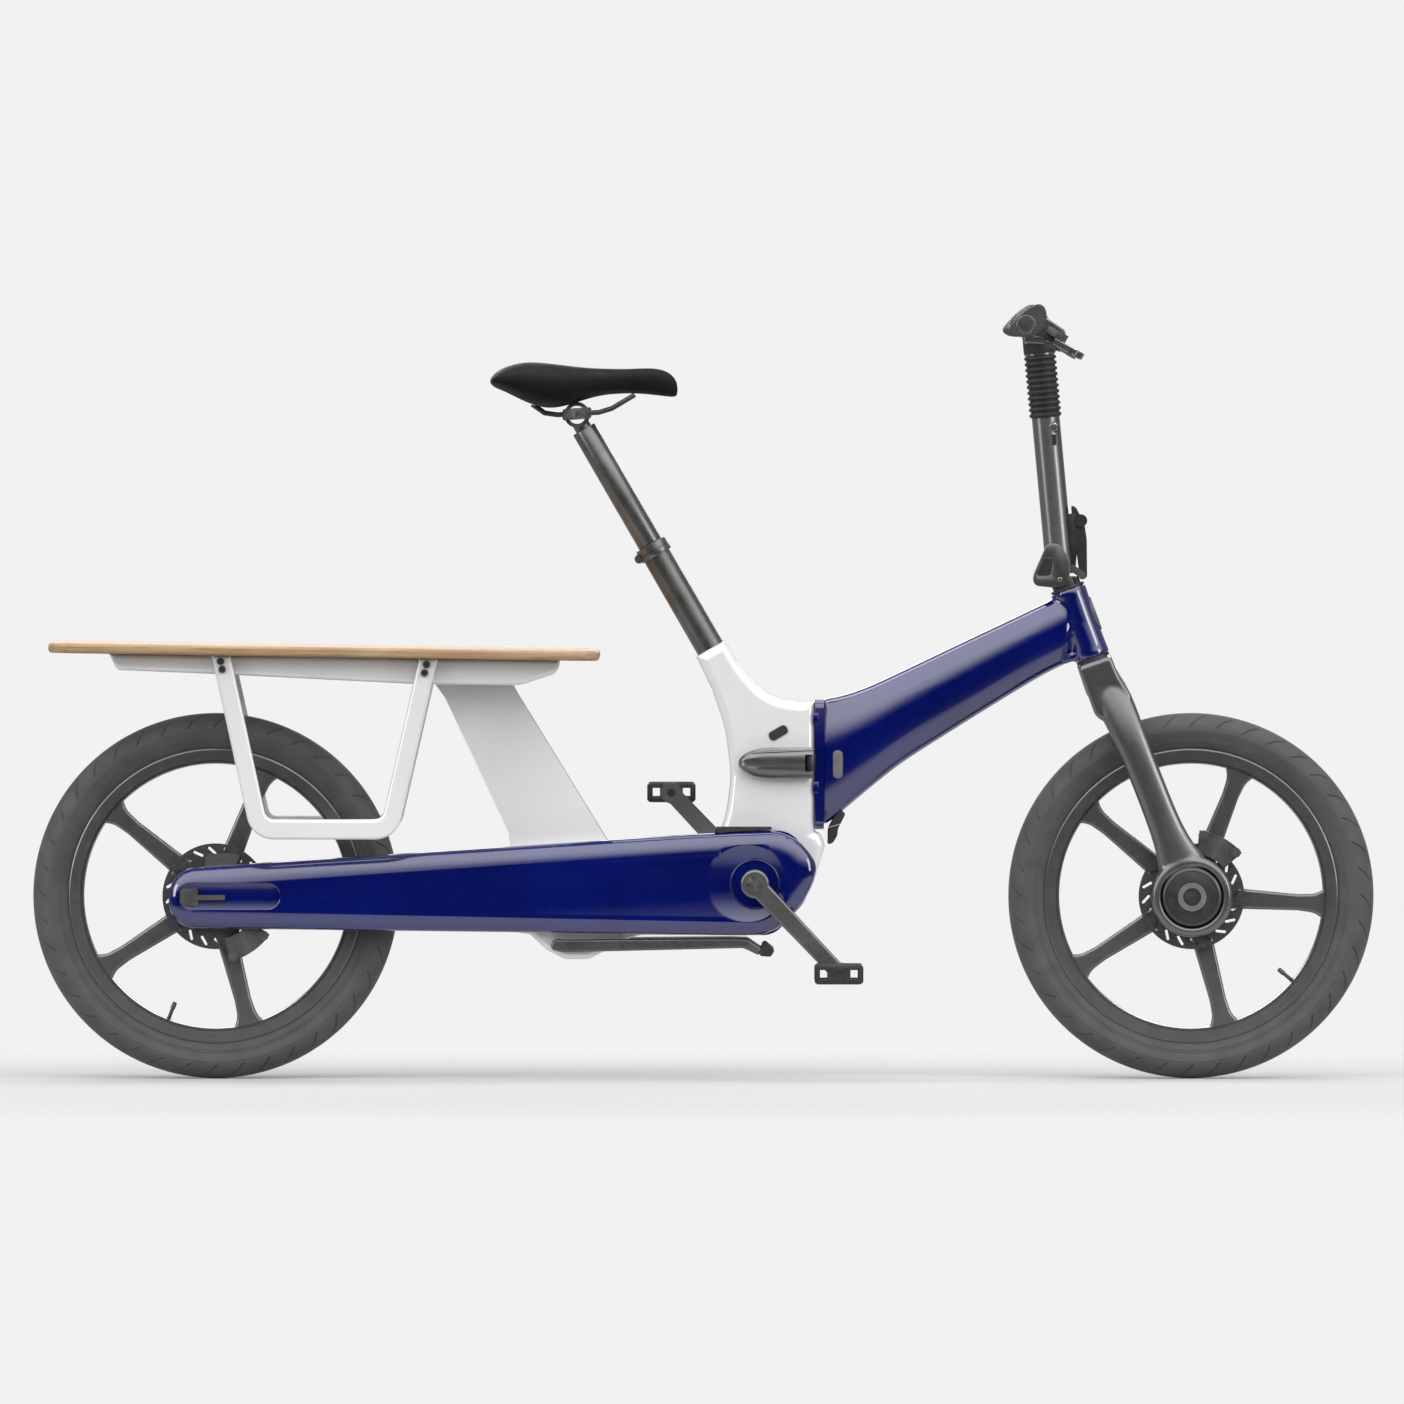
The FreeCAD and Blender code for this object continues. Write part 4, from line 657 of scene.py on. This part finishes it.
def one_sided_fork():
    """Crown, leg and hub seat in one: the leg swells at the crown and sweeps into the seat."""
    #  x, y, z, half depth, half thickness
    ribs = [(548, -28, 588, 17, 20), (556, -34, 566, 22, 21), (569, -44, 540, 26, 19),
            (584, -54, 506, 25, 15.5), (598, -59, 474, 22.5, 14), (613, -60, 436, 22, 13.5),
            (628, -60, 398, 22, 13.5), (642, -60, 362, 22.5, 13.5), (655, -60, 330, 25, 14),
            (668, -60, 300, 33, 14.5), (676, -60, 276, 42, 14.5)]
    leg = lofted([(x, y, z, 66, high * 1.02, wide) for x, y, z, high, wide in ribs], 12, 1.1)
    smoothed(leg, 2)
    crown = slab([(523.5, 577), (549, 506), (562, 500), (580, 507), (604, 531), (583, 559),
                  (569, 593)], -60, 23, (6, 14, 10, 14, 14, 20, 4))
    rounded(crown, 7, 4, 50)
    seat = spun([(0, -45), (52, -45), (56, -47.5), (56.6, -51), (56.6, -69), (55, -73),
                 (51, -75), (45, -75), (43.4, -73.5), (43.2, -66), (0, -66)], FRONT_AXLE, 96)
    low, high = Vector((560.5, 0, 546)), Vector((545.6, 0, 587.2))
    pitch = pitch_of(high - low)
    race = lofted([(*low, pitch, 26, 26), (*high, pitch, 25, 25)], 40)
    piece = melted(joined(leg, crown, seat, race), 2.0, 8)
    return done(piece, "fork_casting", "fork", "dark_cast", ("fork_blade",), 60)


def hub_cap():
    """The turned cap in the fork's seat: a domed disc with two grooves and a grey ring."""
    cap = spun([(0, -66), (40.9, -66), (41.2, -75), (40.6, -76.6), (39.2, -77.6), (36.5, -78.2),
                (35.9, -77.7), (35.3, -78.3), (28, -79.3), (21.2, -79.7), (20.6, -79.0),
                (11.9, -79.0), (11.3, -79.9), (0, -80.0)], FRONT_AXLE, 96)
    done(cap, "hub_cap_disc", "fork", "dark_steel", ("front_hub_cap",), 30)
    band = spun([(12.3, -78.9), (12.5, -79.7), (20.0, -79.5), (20.2, -78.9)], FRONT_AXLE, 96)
    return done(band, "hub_cap_ring", "fork", "grey_plastic", (), 30)


one_sided_fork()
hub_cap()


# ---- the chain case ------------------------------------------------------------------------------
DISH, DISH_RADIUS, DISH_RISE = (61, 275), 58.0, 6.0
DISH_FLOOR, CASE_FRONT, CASE_BACK = -79.9, -66, -58
CASE_CROWN = ((1.2, 3.7), (2.0, 3.2), (3.2, 2.6), (5.0, 2.0), (6.0, 1.5), (7.0, 0.9))


def case_cover():
    """The blue cover: a crowned shell with a dish round the crank and a pocket at the rear."""
    edge = [(-747, 212.3), (-747, 294.5), (14, 345.1), (120, 349), (163, 301), (141, 246),
            (98, 202)]
    piece = slab(edge, CASE_BACK, CASE_FRONT, (37, 39, 30, 29, 26, 27, 27), 10)
    crowned(piece, CASE_CROWN)
    arc = [(DISH_RADIUS * t, DISH_FLOOR + DISH_RISE * (1 - t * t)) for t in
           (0, 0.2, 0.4, 0.55, 0.7, 0.82, 0.92, 1.0)]
    dish = spun(arc + [(DISH_RADIUS + 1.5, -84), (0, -84)], DISH, 96)
    recess = spun([(0, -72.5), (33, -72.5), (35, -74), (36.5, -78), (37.5, -90), (0, -90)],
                  CRANK, 80)
    pocket = slab([(-735, 237.5), (-735, 276), (-591, 276), (-591, 237.5)], -90, -74.5,
                  (19, 19, 19, 19), 10)
    rounded(pocket, 1.5, 3, 60)
    cut(piece, dish, recess, pocket)
    return done(piece, "case_cover_shell", "rear_frame", "blue_paint", ("drive_case_cover",), 30)


case_cover()


# ---- joint fittings ------------------------------------------------------------------------------
def joint_lever():
    """The bullet-shaped lever, with a bevel line along its top and a slot for its knuckle."""
    nose = [(154.0, 13.2, 19.6), (153.0, 14.2, 20.8), (95, 14.2, 20.8), (80, 13.8, 19.7),
            (70, 12.8, 17.5), (62, 11.0, 14.5), (55, 8.2, 10.3), (51, 5.2, 6.2), (49.2, 2, 2.4)]
    lever = lofted([(x, -43, 442.5, 0, high, wide) for x, wide, high in nose], 32, 1.12)
    line = slab([(62, 456.4), (160, 460.8), (160, 459.6), (62, 455.2)], -60, -51)
    cut(lever, boxed((40, -37, 400), (170, 0, 480)), boxed((142, -70, 430.6), (176, 0, 454.4)),
        line)
    rounded(lever, 0.5, 2, 50)
    return done(lever, "joint_lever_bullet", "frame_latch", "dark_cast", ("frame_latch_lever",), 30)


def latch_knuckle():
    """The barrel of the frame's knuckle that carries the lever's pin."""
    barrel = lofted([(149.5, -42, z, 90, 7.0, 7.0) for z in (431.4, 453.6)], 32)
    rounded(barrel, 0.8, 3, 40)
    return done(barrel, "latch_knuckle", "rear_frame", "dark_steel", (), 35)


def spar_plug():
    """The grey oblong plug in the spar's near flank."""
    plug = slab([(181, 420.5), (195, 420.5), (195, 460), (181, 460)], -28, -32.4,
                (6.9, 6.9, 6.9, 6.9), 8)
    crowned(plug, ((0.5, 0.5), (1.0, 0.25), (1.6, 0)))
    cut(plug, slab([(186, 446), (190, 446), (190, 446.8), (186, 446.8)], -40, -32.7))
    return done(plug, "spar_plug_oblong", "front_frame", "grey_plastic", ("frame_plug",), 30)


def bumper():
    """The rubber hook under the joint, in three soft lobes."""
    hook = slab([(173.5, 327.5), (181, 329.5), (187.5, 340), (188.5, 350), (199.5, 371.5),
                 (190.5, 376.5), (181, 364), (174, 351)], -11, 11, (4, 3, 3, 2, 4, 4, 5, 4))
    rounded(hook, 1.6, 4, 40)
    cut(hook, slab([(170, 350.5), (193, 357), (193, 356), (170, 349.5)], -30, 30))
    return done(hook, "joint_bumper_hook", "front_frame", "black_rubber", ("joint_bumper",), 30)


def headset_races():
    """The dark rings that close the gaps at both ends of the head tube."""
    for end, low, high, word in ((HEAD_FOOT, -3.4, 0.8, "lower"), (HEAD_TOP, -0.8, 2.6, "upper")):
        race = lofted([(*(end + HEAD_WAY * d), HEAD_PITCH, 24.0, 24.0) for d in (low, high)], 48)
        rounded(race, 0.6, 2, 40)
        done(race, "headset_race_" + word, "front_frame", "black_plastic", (), 35)


def badge():
    """A plain domed oval on the head tube."""
    cap = merged_copy("head_badge")
    rounded(cap, 1.2, 3, 40)
    return done(cap, "head_badge_cap", "front_frame", "grey_plastic", ("head_badge",), 35)


joint_lever()
latch_knuckle()
spar_plug()
bumper()
headset_races()
badge()
for pad_low, pad_high in ((497, 512), (400, 416)):
    done(flange_step(pad_low, pad_high), "flange_pad_%d" % pad_low, "front_frame", "blue_paint")


# ---- stem ----------------------------------------------------------------------------------------
STEM_FOOT, STEM_TOP = Vector((499.5, 0, 706)), Vector((479, 0, 925))
STEM_PITCH = pitch_of(STEM_TOP - STEM_FOOT)
STEM_WAY = (STEM_TOP - STEM_FOOT).normalized()
BELLOWS_RIBS, BELLOWS_GAP = 11, 8.0
BUTTON = (489.7, 912)


def up_stem(distance, radius):
    """A ring round the stem's line, a distance above the stem tube's top, for lofted."""
    point = STEM_TOP + STEM_WAY * distance
    return (*point, STEM_PITCH, radius, radius)


def bellows():
    """Eleven soft ribs of rubber at one fixed spacing; on the bike they close up as the bar is
    lowered.
    """
    ribs = [up_stem(0.2, 20.2)]
    for i in range(BELLOWS_RIBS):
        start = i * BELLOWS_GAP
        ribs += [up_stem(start + d, r) for d, r in
                 ((1.2, 20.0), (2.2, 22.0), (4.2, 22.7), (6.2, 22.0), (7.2, 20.0))]
    ribs.append(up_stem(87.8, 20.2))
    sleeve = lofted(ribs, 40)
    done(sleeve, "bellows_sleeve", "stem", "black_rubber", ("stem_bellows",), 50)
    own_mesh(sleeve)
    return sleeve


def stem_foot():
    """The flared cheeks of the stem's foot, each with a window recess floored by a black sheet of
    painted shade, and a hinge pin end.
    """
    for side, word in ((-1, "right"), (1, "left")):
        cheek = slab([(461, 703), (480, 747), (489, 750), (501, 746), (513, 724), (512, 692),
                      (492, 687), (463, 690)],
                     side * 17.5, side * 20.6, (7, 4, 4, 6, 10, 6, 8, 6))
        window = slab([(466.5, 706), (477.5, 730), (488, 728), (489.5, 719), (486, 703.5),
                       (468, 702.5)], side * 18.9, side * 30, (3, 4, 3, 6, 3, 3))
        cut(cheek, window)
        rounded(cheek, 0.9, 3, 40)
        done(cheek, "stem_cheek_" + word, "stem", "dark_cast", (), 30)
        # A black sheet on the window's floor: painted shade, standing in for the shadow inside the
        # opening.
        hollow = slab([(467.5, 706), (478, 729), (487.2, 727.2), (488.6, 719), (485.3, 704.4),
                       (468.8, 703.4)], side * 18.0, side * 19.1, (2, 3, 2, 5, 2, 2))
        done(hollow, "stem_window_shade_" + word, "stem", "black_plastic", (), 30)
        screw = spun([(0, side * 20.1), (3.2, side * 20.1), (3.2, side * 21.2),
                      (2.6, side * 21.7), (1.5, side * 21.7), (1.4, side * 21.0),
                      (0, side * 21.0)], (498.6, 698.6), 32)
        done(screw, "stem_screw_" + word, "stem", "bright_steel", (), 30)


def stem_button():
    """The round release button near the stem's top, with a dark slot under it."""
    button = spun([(0, -15), (6.2, -15), (6.2, -18.8), (5.2, -19.8), (3.4, -20.0), (0, -20.0)],
                  BUTTON, 40)
    done(button, "stem_button", "stem", "bright_steel", (), 30)
    seat = spun([(6.4, -14), (8.4, -14), (8.2, -17.0), (6.6, -17.6)], BUTTON, 40)
    done(seat, "stem_button_seat", "stem", "black_plastic", (), 30)
    slot = slab([(487, 886), (494, 886.5), (493, 902), (486.5, 901.5)], -15.0, -18.7,
                (2, 2, 2, 2))
    done(slot, "stem_button_slot", "stem", "black_plastic", (), 30)


def bar_neck():
    """The black sleeve between the bellows and the bar."""
    sleeve = lofted([up_stem(d, r) for d, r in ((90.2, 20.0), (90.4, 21.6), (91.4, 22.3),
                                               (110.5, 22.3), (112, 21.7), (113, 20.0))], 48)
    return done(sleeve, "bar_neck_sleeve", "handlebar", "black_rubber", (), 40)


def shade_filler_behind_latch():
    """A black filler behind the latch lever: painted shade, standing in for the shadowed space beside
    the tube.
    """
    shade_filler = slab([(515.5, 712), (521, 716), (524.5, 762), (521, 792), (508.5, 790)], -10.5, 10.5,
                 (2, 5, 6, 5, 2))
    rounded(shade_filler, 1.5, 3, 40)
    return done(shade_filler, "stem_latch_shade_filler", "stem", "black_plastic", (), 35)


bellows()
bar_neck()
shade_filler_behind_latch()
stem_foot()
stem_button()


# ---- handlebar -----------------------------------------------------------------------------------
BAR = (447.0, 1055.0)
GRIP_RIBS, GRIP_RIB_FIRST, GRIP_RIB_GAP = 9, 186, 4.6


def swept(outline, stations):
    """A closed side-view outline carried along Y; each station is (y, scale about the bar)."""
    first_y, first_scale = stations[0]
    centre = Vector((BAR[0], 0, BAR[1])) * MM
    piece = pen([(x, first_y, z) for x, z in outline])
    close_up(piece)
    bpy.ops.mesh.select_all(action="SELECT")
    bpy.ops.mesh.edge_face_add()
    bpy.ops.transform.resize(value=(first_scale, 1, first_scale), center_override=centre)
    for (last_y, last_scale), (y, scale) in zip(stations, stations[1:]):
        bpy.ops.mesh.extrude_region_move(
            TRANSFORM_OT_translate={"value": (0, (y - last_y) * MM, 0)})
        ratio = scale / last_scale
        bpy.ops.transform.resize(value=(ratio, 1, ratio), center_override=centre)
    clean()
    return to_object()


def grip(side, word):
    """A palm-shaped grip: a broad wing at the end that runs out into a plain handle."""
    wing = [(420.5, 1047.5), (428, 1057), (440, 1070), (455, 1081), (466, 1085),
            (475, 1078), (476, 1062), (469, 1047), (457, 1039), (440, 1037.5), (428, 1040)]
    body = swept(wing, [(side * y, s) for y, s in
                        ((299.2, 0.88), (299.6, 0.97), (297.5, 1.01), (285, 1.02), (262, 1.0),
                         (247, 0.86), (232, 0.72), (222, 0.66), (196, 0.64), (184, 0.66),
                         (181, 0.70), (178.6, 0.70), (178.2, 0.6))])
    smoothed(body, 2)
    done(body, "grip_" + word, "handlebar", "grip_rubber", ("grips",), 60)
    cap = spun([(0, side * 298.5), (13.4, side * 298.5), (13.4, side * 299.6),
                (12.6, side * 300.2), (10.8, side * 300.2), (10.2, side * 299.7),
                (3.0, side * 299.9), (2.4, side * 299.9), (2.0, side * 298.9),
                (0, side * 298.9)], BAR, 48)
    done(cap, "grip_cap_" + word, "handlebar", "dark_cast", (), 25)
    for i in range(GRIP_RIBS):
        middle = side * (GRIP_RIB_FIRST + i * GRIP_RIB_GAP)
        rib = spun([(10.5, middle - 1.1), (12.4, middle - 0.9), (12.9, middle),
                    (12.4, middle + 0.9), (10.5, middle + 1.1)], (BAR[0] + 0.5, BAR[1] + 1.5), 28)
        done(rib, "grip_rib_%s_%d" % (word, i), "handlebar", "grip_rubber", (), 40)


for bar_side, bar_word in ((-1, "right"), (1, "left")):
    grip(bar_side, bar_word)


# ---- pedals and valves ---------------------------------------------------------------------------
CRANK_LENGTH, CRANK_RIGHT, CRANK_LEFT = 170, -46.6, 133.4


def pedal(side, word):
    """A caged pedal: two pierced end plates, two grooved rails with pins, a barrel between."""
    angle = math.radians(CRANK_RIGHT if side < 0 else CRANK_LEFT)
    x, z = CRANK[0] + CRANK_LENGTH * math.cos(angle), CRANK[1] + CRANK_LENGTH * math.sin(angle)
    near, far = side * 103.0, side * 195.0
    parts = []
    for y0, y1 in ((near, near + side * 7), (far - side * 7, far)):
        end = slab([(x - 34, z - 11), (x - 34, z + 11), (x - 29, z + 13.6), (x + 29, z + 13.6),
                    (x + 34, z + 11), (x + 34, z - 11), (x + 29, z - 13.6), (x - 29, z - 13.6)],
                   y0, y1, (2, 2, 2, 2, 2, 2, 2, 2), 3)
        lower, upper = sorted((y0 - side * 9, y1 + side * 9))
        cut(end, boxed((x - 28, lower, z - 6.5), (x - 16, upper, z + 6.5)),
            boxed((x + 16, lower, z - 6.5), (x + 28, upper, z + 6.5)))
        rounded(end, 0.8, 2, 50)
        parts.append(end)
    low_y, high_y = sorted((near + side * 3, far - side * 3))
    for offset in (-30, 30):
        rail = boxed((x + offset - 3.6, low_y, z - 11.5), (x + offset + 3.6, high_y, z + 11.5))
        sign = 1 if offset > 0 else -1
        for y in (0.3, 0.7):
            middle = low_y + (high_y - low_y) * y
            reach = sorted((x + offset + sign * 1.6, x + offset + sign * 9))
            cut(rail, boxed((reach[0], middle - 12, z - 5), (reach[1], middle + 12, z + 5)))
        rounded(rail, 0.9, 2, 50)
        parts.append(rail)
    barrel = spun([(0, near), (10.5, near), (11.8, near + side * 6), (9.6, near + side * 14),
                   (9.6, far - side * 14), (12.4, far - side * 6), (12.4, far - side * 0.5),
                   (8.5, far + side * 0.2), (8.0, far - side * 2), (0, far - side * 2)], (x, z), 40)
    stem = spun([(0, side * 86), (5.9, side * 86), (5.9, side * 98.4), (8.6, side * 98.8),
                 (8.6, near), (0, near)], (x, z), 32)
    for across in (-30, 30):
        for share in (0.18, 0.5, 0.82):
            y = near + (far - near) * share
            for up in (-1, 1):
                pin = lofted([(x + across, y, z + up * 10, -90 * up, 1.6, 1.6),
                              (x + across, y, z + up * 13.2, -90 * up, 1.5, 1.5),
                              (x + across, y, z + up * 13.9, -90 * up, 0.9, 0.9)], 8)
                parts.append(pin)
    piece = joined(*parts, barrel, stem)
    return done(piece, "pedal_cage_" + word, "pedal_" + word, "black_plastic", ("pedal_" + word,), 30)


def valve(axle, degrees, body, word):
    """A short valve stem with a cap, pointing at the hub."""
    a = math.radians(degrees)

    def spot(radius, size):
        return (axle[0] + radius * math.cos(a), 0, axle[1] + radius * math.sin(a),
                180 - degrees, size, size)

    stem = lofted([spot(188, 4.2), spot(184, 4.2), spot(183, 2.7), spot(170, 2.6),
                   spot(169.5, 3.4), spot(161, 3.3), spot(159.8, 2.4)], 14)
    return done(stem, "valve_" + word, body, "dark_steel", (), 30)


pedal(-1, "right")
pedal(1, "left")
valve(REAR_AXLE, -111, "rear_wheel", "rear")
valve(FRONT_AXLE, -40, "front_wheel", "front")


# ---- camera, light and floor --------------------------------------------------------------------
CAMERA_DISTANCE, CAMERA_TILT = 30, math.radians(1.0)


def studio():
    camera_data = bpy.data.cameras.new("camera")
    camera = bpy.data.objects.new("camera", camera_data)
    bpy.context.collection.objects.link(camera)
    camera_data.sensor_width = 36.0
    camera_data.lens = 549.5
    camera_data.clip_start, camera_data.clip_end = 1.0, 100.0
    target = Vector((-0.002, 0.0, 0.527))
    camera.location = target + CAMERA_DISTANCE * Vector(
        (0, -math.cos(CAMERA_TILT), math.sin(CAMERA_TILT)))
    camera.rotation_euler = (math.pi / 2 - CAMERA_TILT, 0, 0)
    bpy.context.scene.camera = camera
    bpy.context.scene.view_settings.view_transform = "Standard"


def area_light(name, place, aim, width, height, power, colour=(1, 1, 1)):
    data = bpy.data.lights.new(name, "AREA")
    data.shape = "RECTANGLE"
    data.size, data.size_y, data.energy, data.color = width, height, power, colour
    light = bpy.data.objects.new(name, data)
    bpy.context.collection.objects.link(light)
    light.location = place
    light.rotation_euler = (Vector(aim) - Vector(place)).to_track_quat("-Z", "Y").to_euler()
    light.visible_camera = False
    return light


def sky_ramp(nodes, links, source, stops):
    """A grey ramp from a direction's coordinate, -1 to 1."""
    shift = nodes.new("ShaderNodeMapRange")
    shift.inputs["From Min"].default_value = -1.0
    ramp = nodes.new("ShaderNodeValToRGB")
    ends = ramp.color_ramp.elements
    ends[0].position, ends[1].position = 0.0, 1.0
    for element, (_, value) in zip(ends, (stops[0], stops[-1])):
        element.color = (value, value, value, 1)
    for direction, value in stops[1:-1]:
        ends.new((direction + 1) / 2).color = (value, value, value, 1)
    links.new(source, shift.inputs["Value"])
    links.new(shift.outputs["Result"], ramp.inputs["Fac"])
    return ramp.outputs["Color"]


def lighting():
    """A tall soft reflector in front, dark at the horizon, with softboxes round it."""
    area_light("overhead softbox", (0, 0.4, 3.2), (0, 0, 0.4), 4.2, 1.2, 50)
    area_light("left softbox", (-4.2, -2.4, 1.2), (0, 0, 0.5), 1.4, 1.8, 40)
    area_light("right softbox", (4.2, -2.4, 1.2), (0, 0, 0.5), 1.4, 1.8, 40)
    area_light("rear softbox", (0, 4.0, 2.0), (0, 0, 0.5), 4.0, 1.4, 60)
    world = bpy.data.worlds.new("studio air")
    bpy.context.scene.world = world
    world.use_nodes = True
    nodes, links = world.node_tree.nodes, world.node_tree.links
    seen = nodes["Background"]
    seen.inputs["Color"].default_value = (0.884, 0.884, 0.884, 1)
    place = nodes.new("ShaderNodeTexCoord")
    split = nodes.new("ShaderNodeSeparateXYZ")
    links.new(place.outputs["Generated"], split.inputs["Vector"])
    behind = sky_ramp(nodes, links, split.outputs["Z"],
                      ((-1, 0.5), (-0.12, 0.35), (0.0, 0.18), (0.3, 0.30), (1, 0.55)))
    ahead = sky_ramp(nodes, links, split.outputs["Z"],
                     ((-1, 0.3), (-0.1, 0.02), (0.05, 0.0), (0.12, 0.25), (0.30, 1.7), (0.5, 2.4),
                      (0.94, 2.4), (0.965, 0.05), (1, 0.3)))
    share = sky_ramp(nodes, links, split.outputs["Y"],
                     ((-1, 1), (-0.2, 1), (-0.05, 0), (1, 0)))
    both = nodes.new("ShaderNodeMix")
    both.data_type = "RGBA"
    links.new(share, both.inputs["Factor"])
    links.new(behind, both.inputs["A"])
    links.new(ahead, both.inputs["B"])
    lit = nodes.new("ShaderNodeBackground")
    links.new(both.outputs["Result"], lit.inputs["Color"])
    ray = nodes.new("ShaderNodeLightPath")
    pick = nodes.new("ShaderNodeMixShader")
    links.new(ray.outputs["Is Camera Ray"], pick.inputs["Fac"])
    links.new(lit.outputs["Background"], pick.inputs[1])
    links.new(seen.outputs["Background"], pick.inputs[2])
    links.new(pick.outputs["Shader"], nodes["World Output"].inputs["Surface"])


def studio_floor():
    """A pale floor that thins out to nothing towards its edge."""
    bpy.ops.mesh.primitive_circle_add(vertices=96, radius=6.0, fill_type="NGON", location=(0, 0, 0))
    floor = bpy.context.object
    floor.name = "studio floor"
    material = bpy.data.materials.new("pale floor")
    material.use_nodes = True
    nodes, links = material.node_tree.nodes, material.node_tree.links
    shader = nodes["Principled BSDF"]
    shader.inputs["Base Color"].default_value = (0.53, 0.53, 0.53, 1)
    shader.inputs["Roughness"].default_value = 0.7
    shader.inputs["Specular IOR Level"].default_value = 0.0
    place = nodes.new("ShaderNodeTexCoord")
    spread = nodes.new("ShaderNodeMapping")
    spread.inputs["Scale"].default_value = (0.36, 0.55, 1)
    fade = nodes.new("ShaderNodeTexGradient")
    fade.gradient_type = "SPHERICAL"
    ease = nodes.new("ShaderNodeMapRange")
    ease.interpolation_type = "SMOOTHSTEP"
    ease.inputs["From Max"].default_value = 0.55
    links.new(place.outputs["Object"], spread.inputs["Vector"])
    links.new(spread.outputs["Vector"], fade.inputs["Vector"])
    links.new(fade.outputs["Fac"], ease.inputs["Value"])
    links.new(ease.outputs["Result"], shader.inputs["Alpha"])
    floor.data.materials.append(material)


studio()
lighting()
studio_floor()
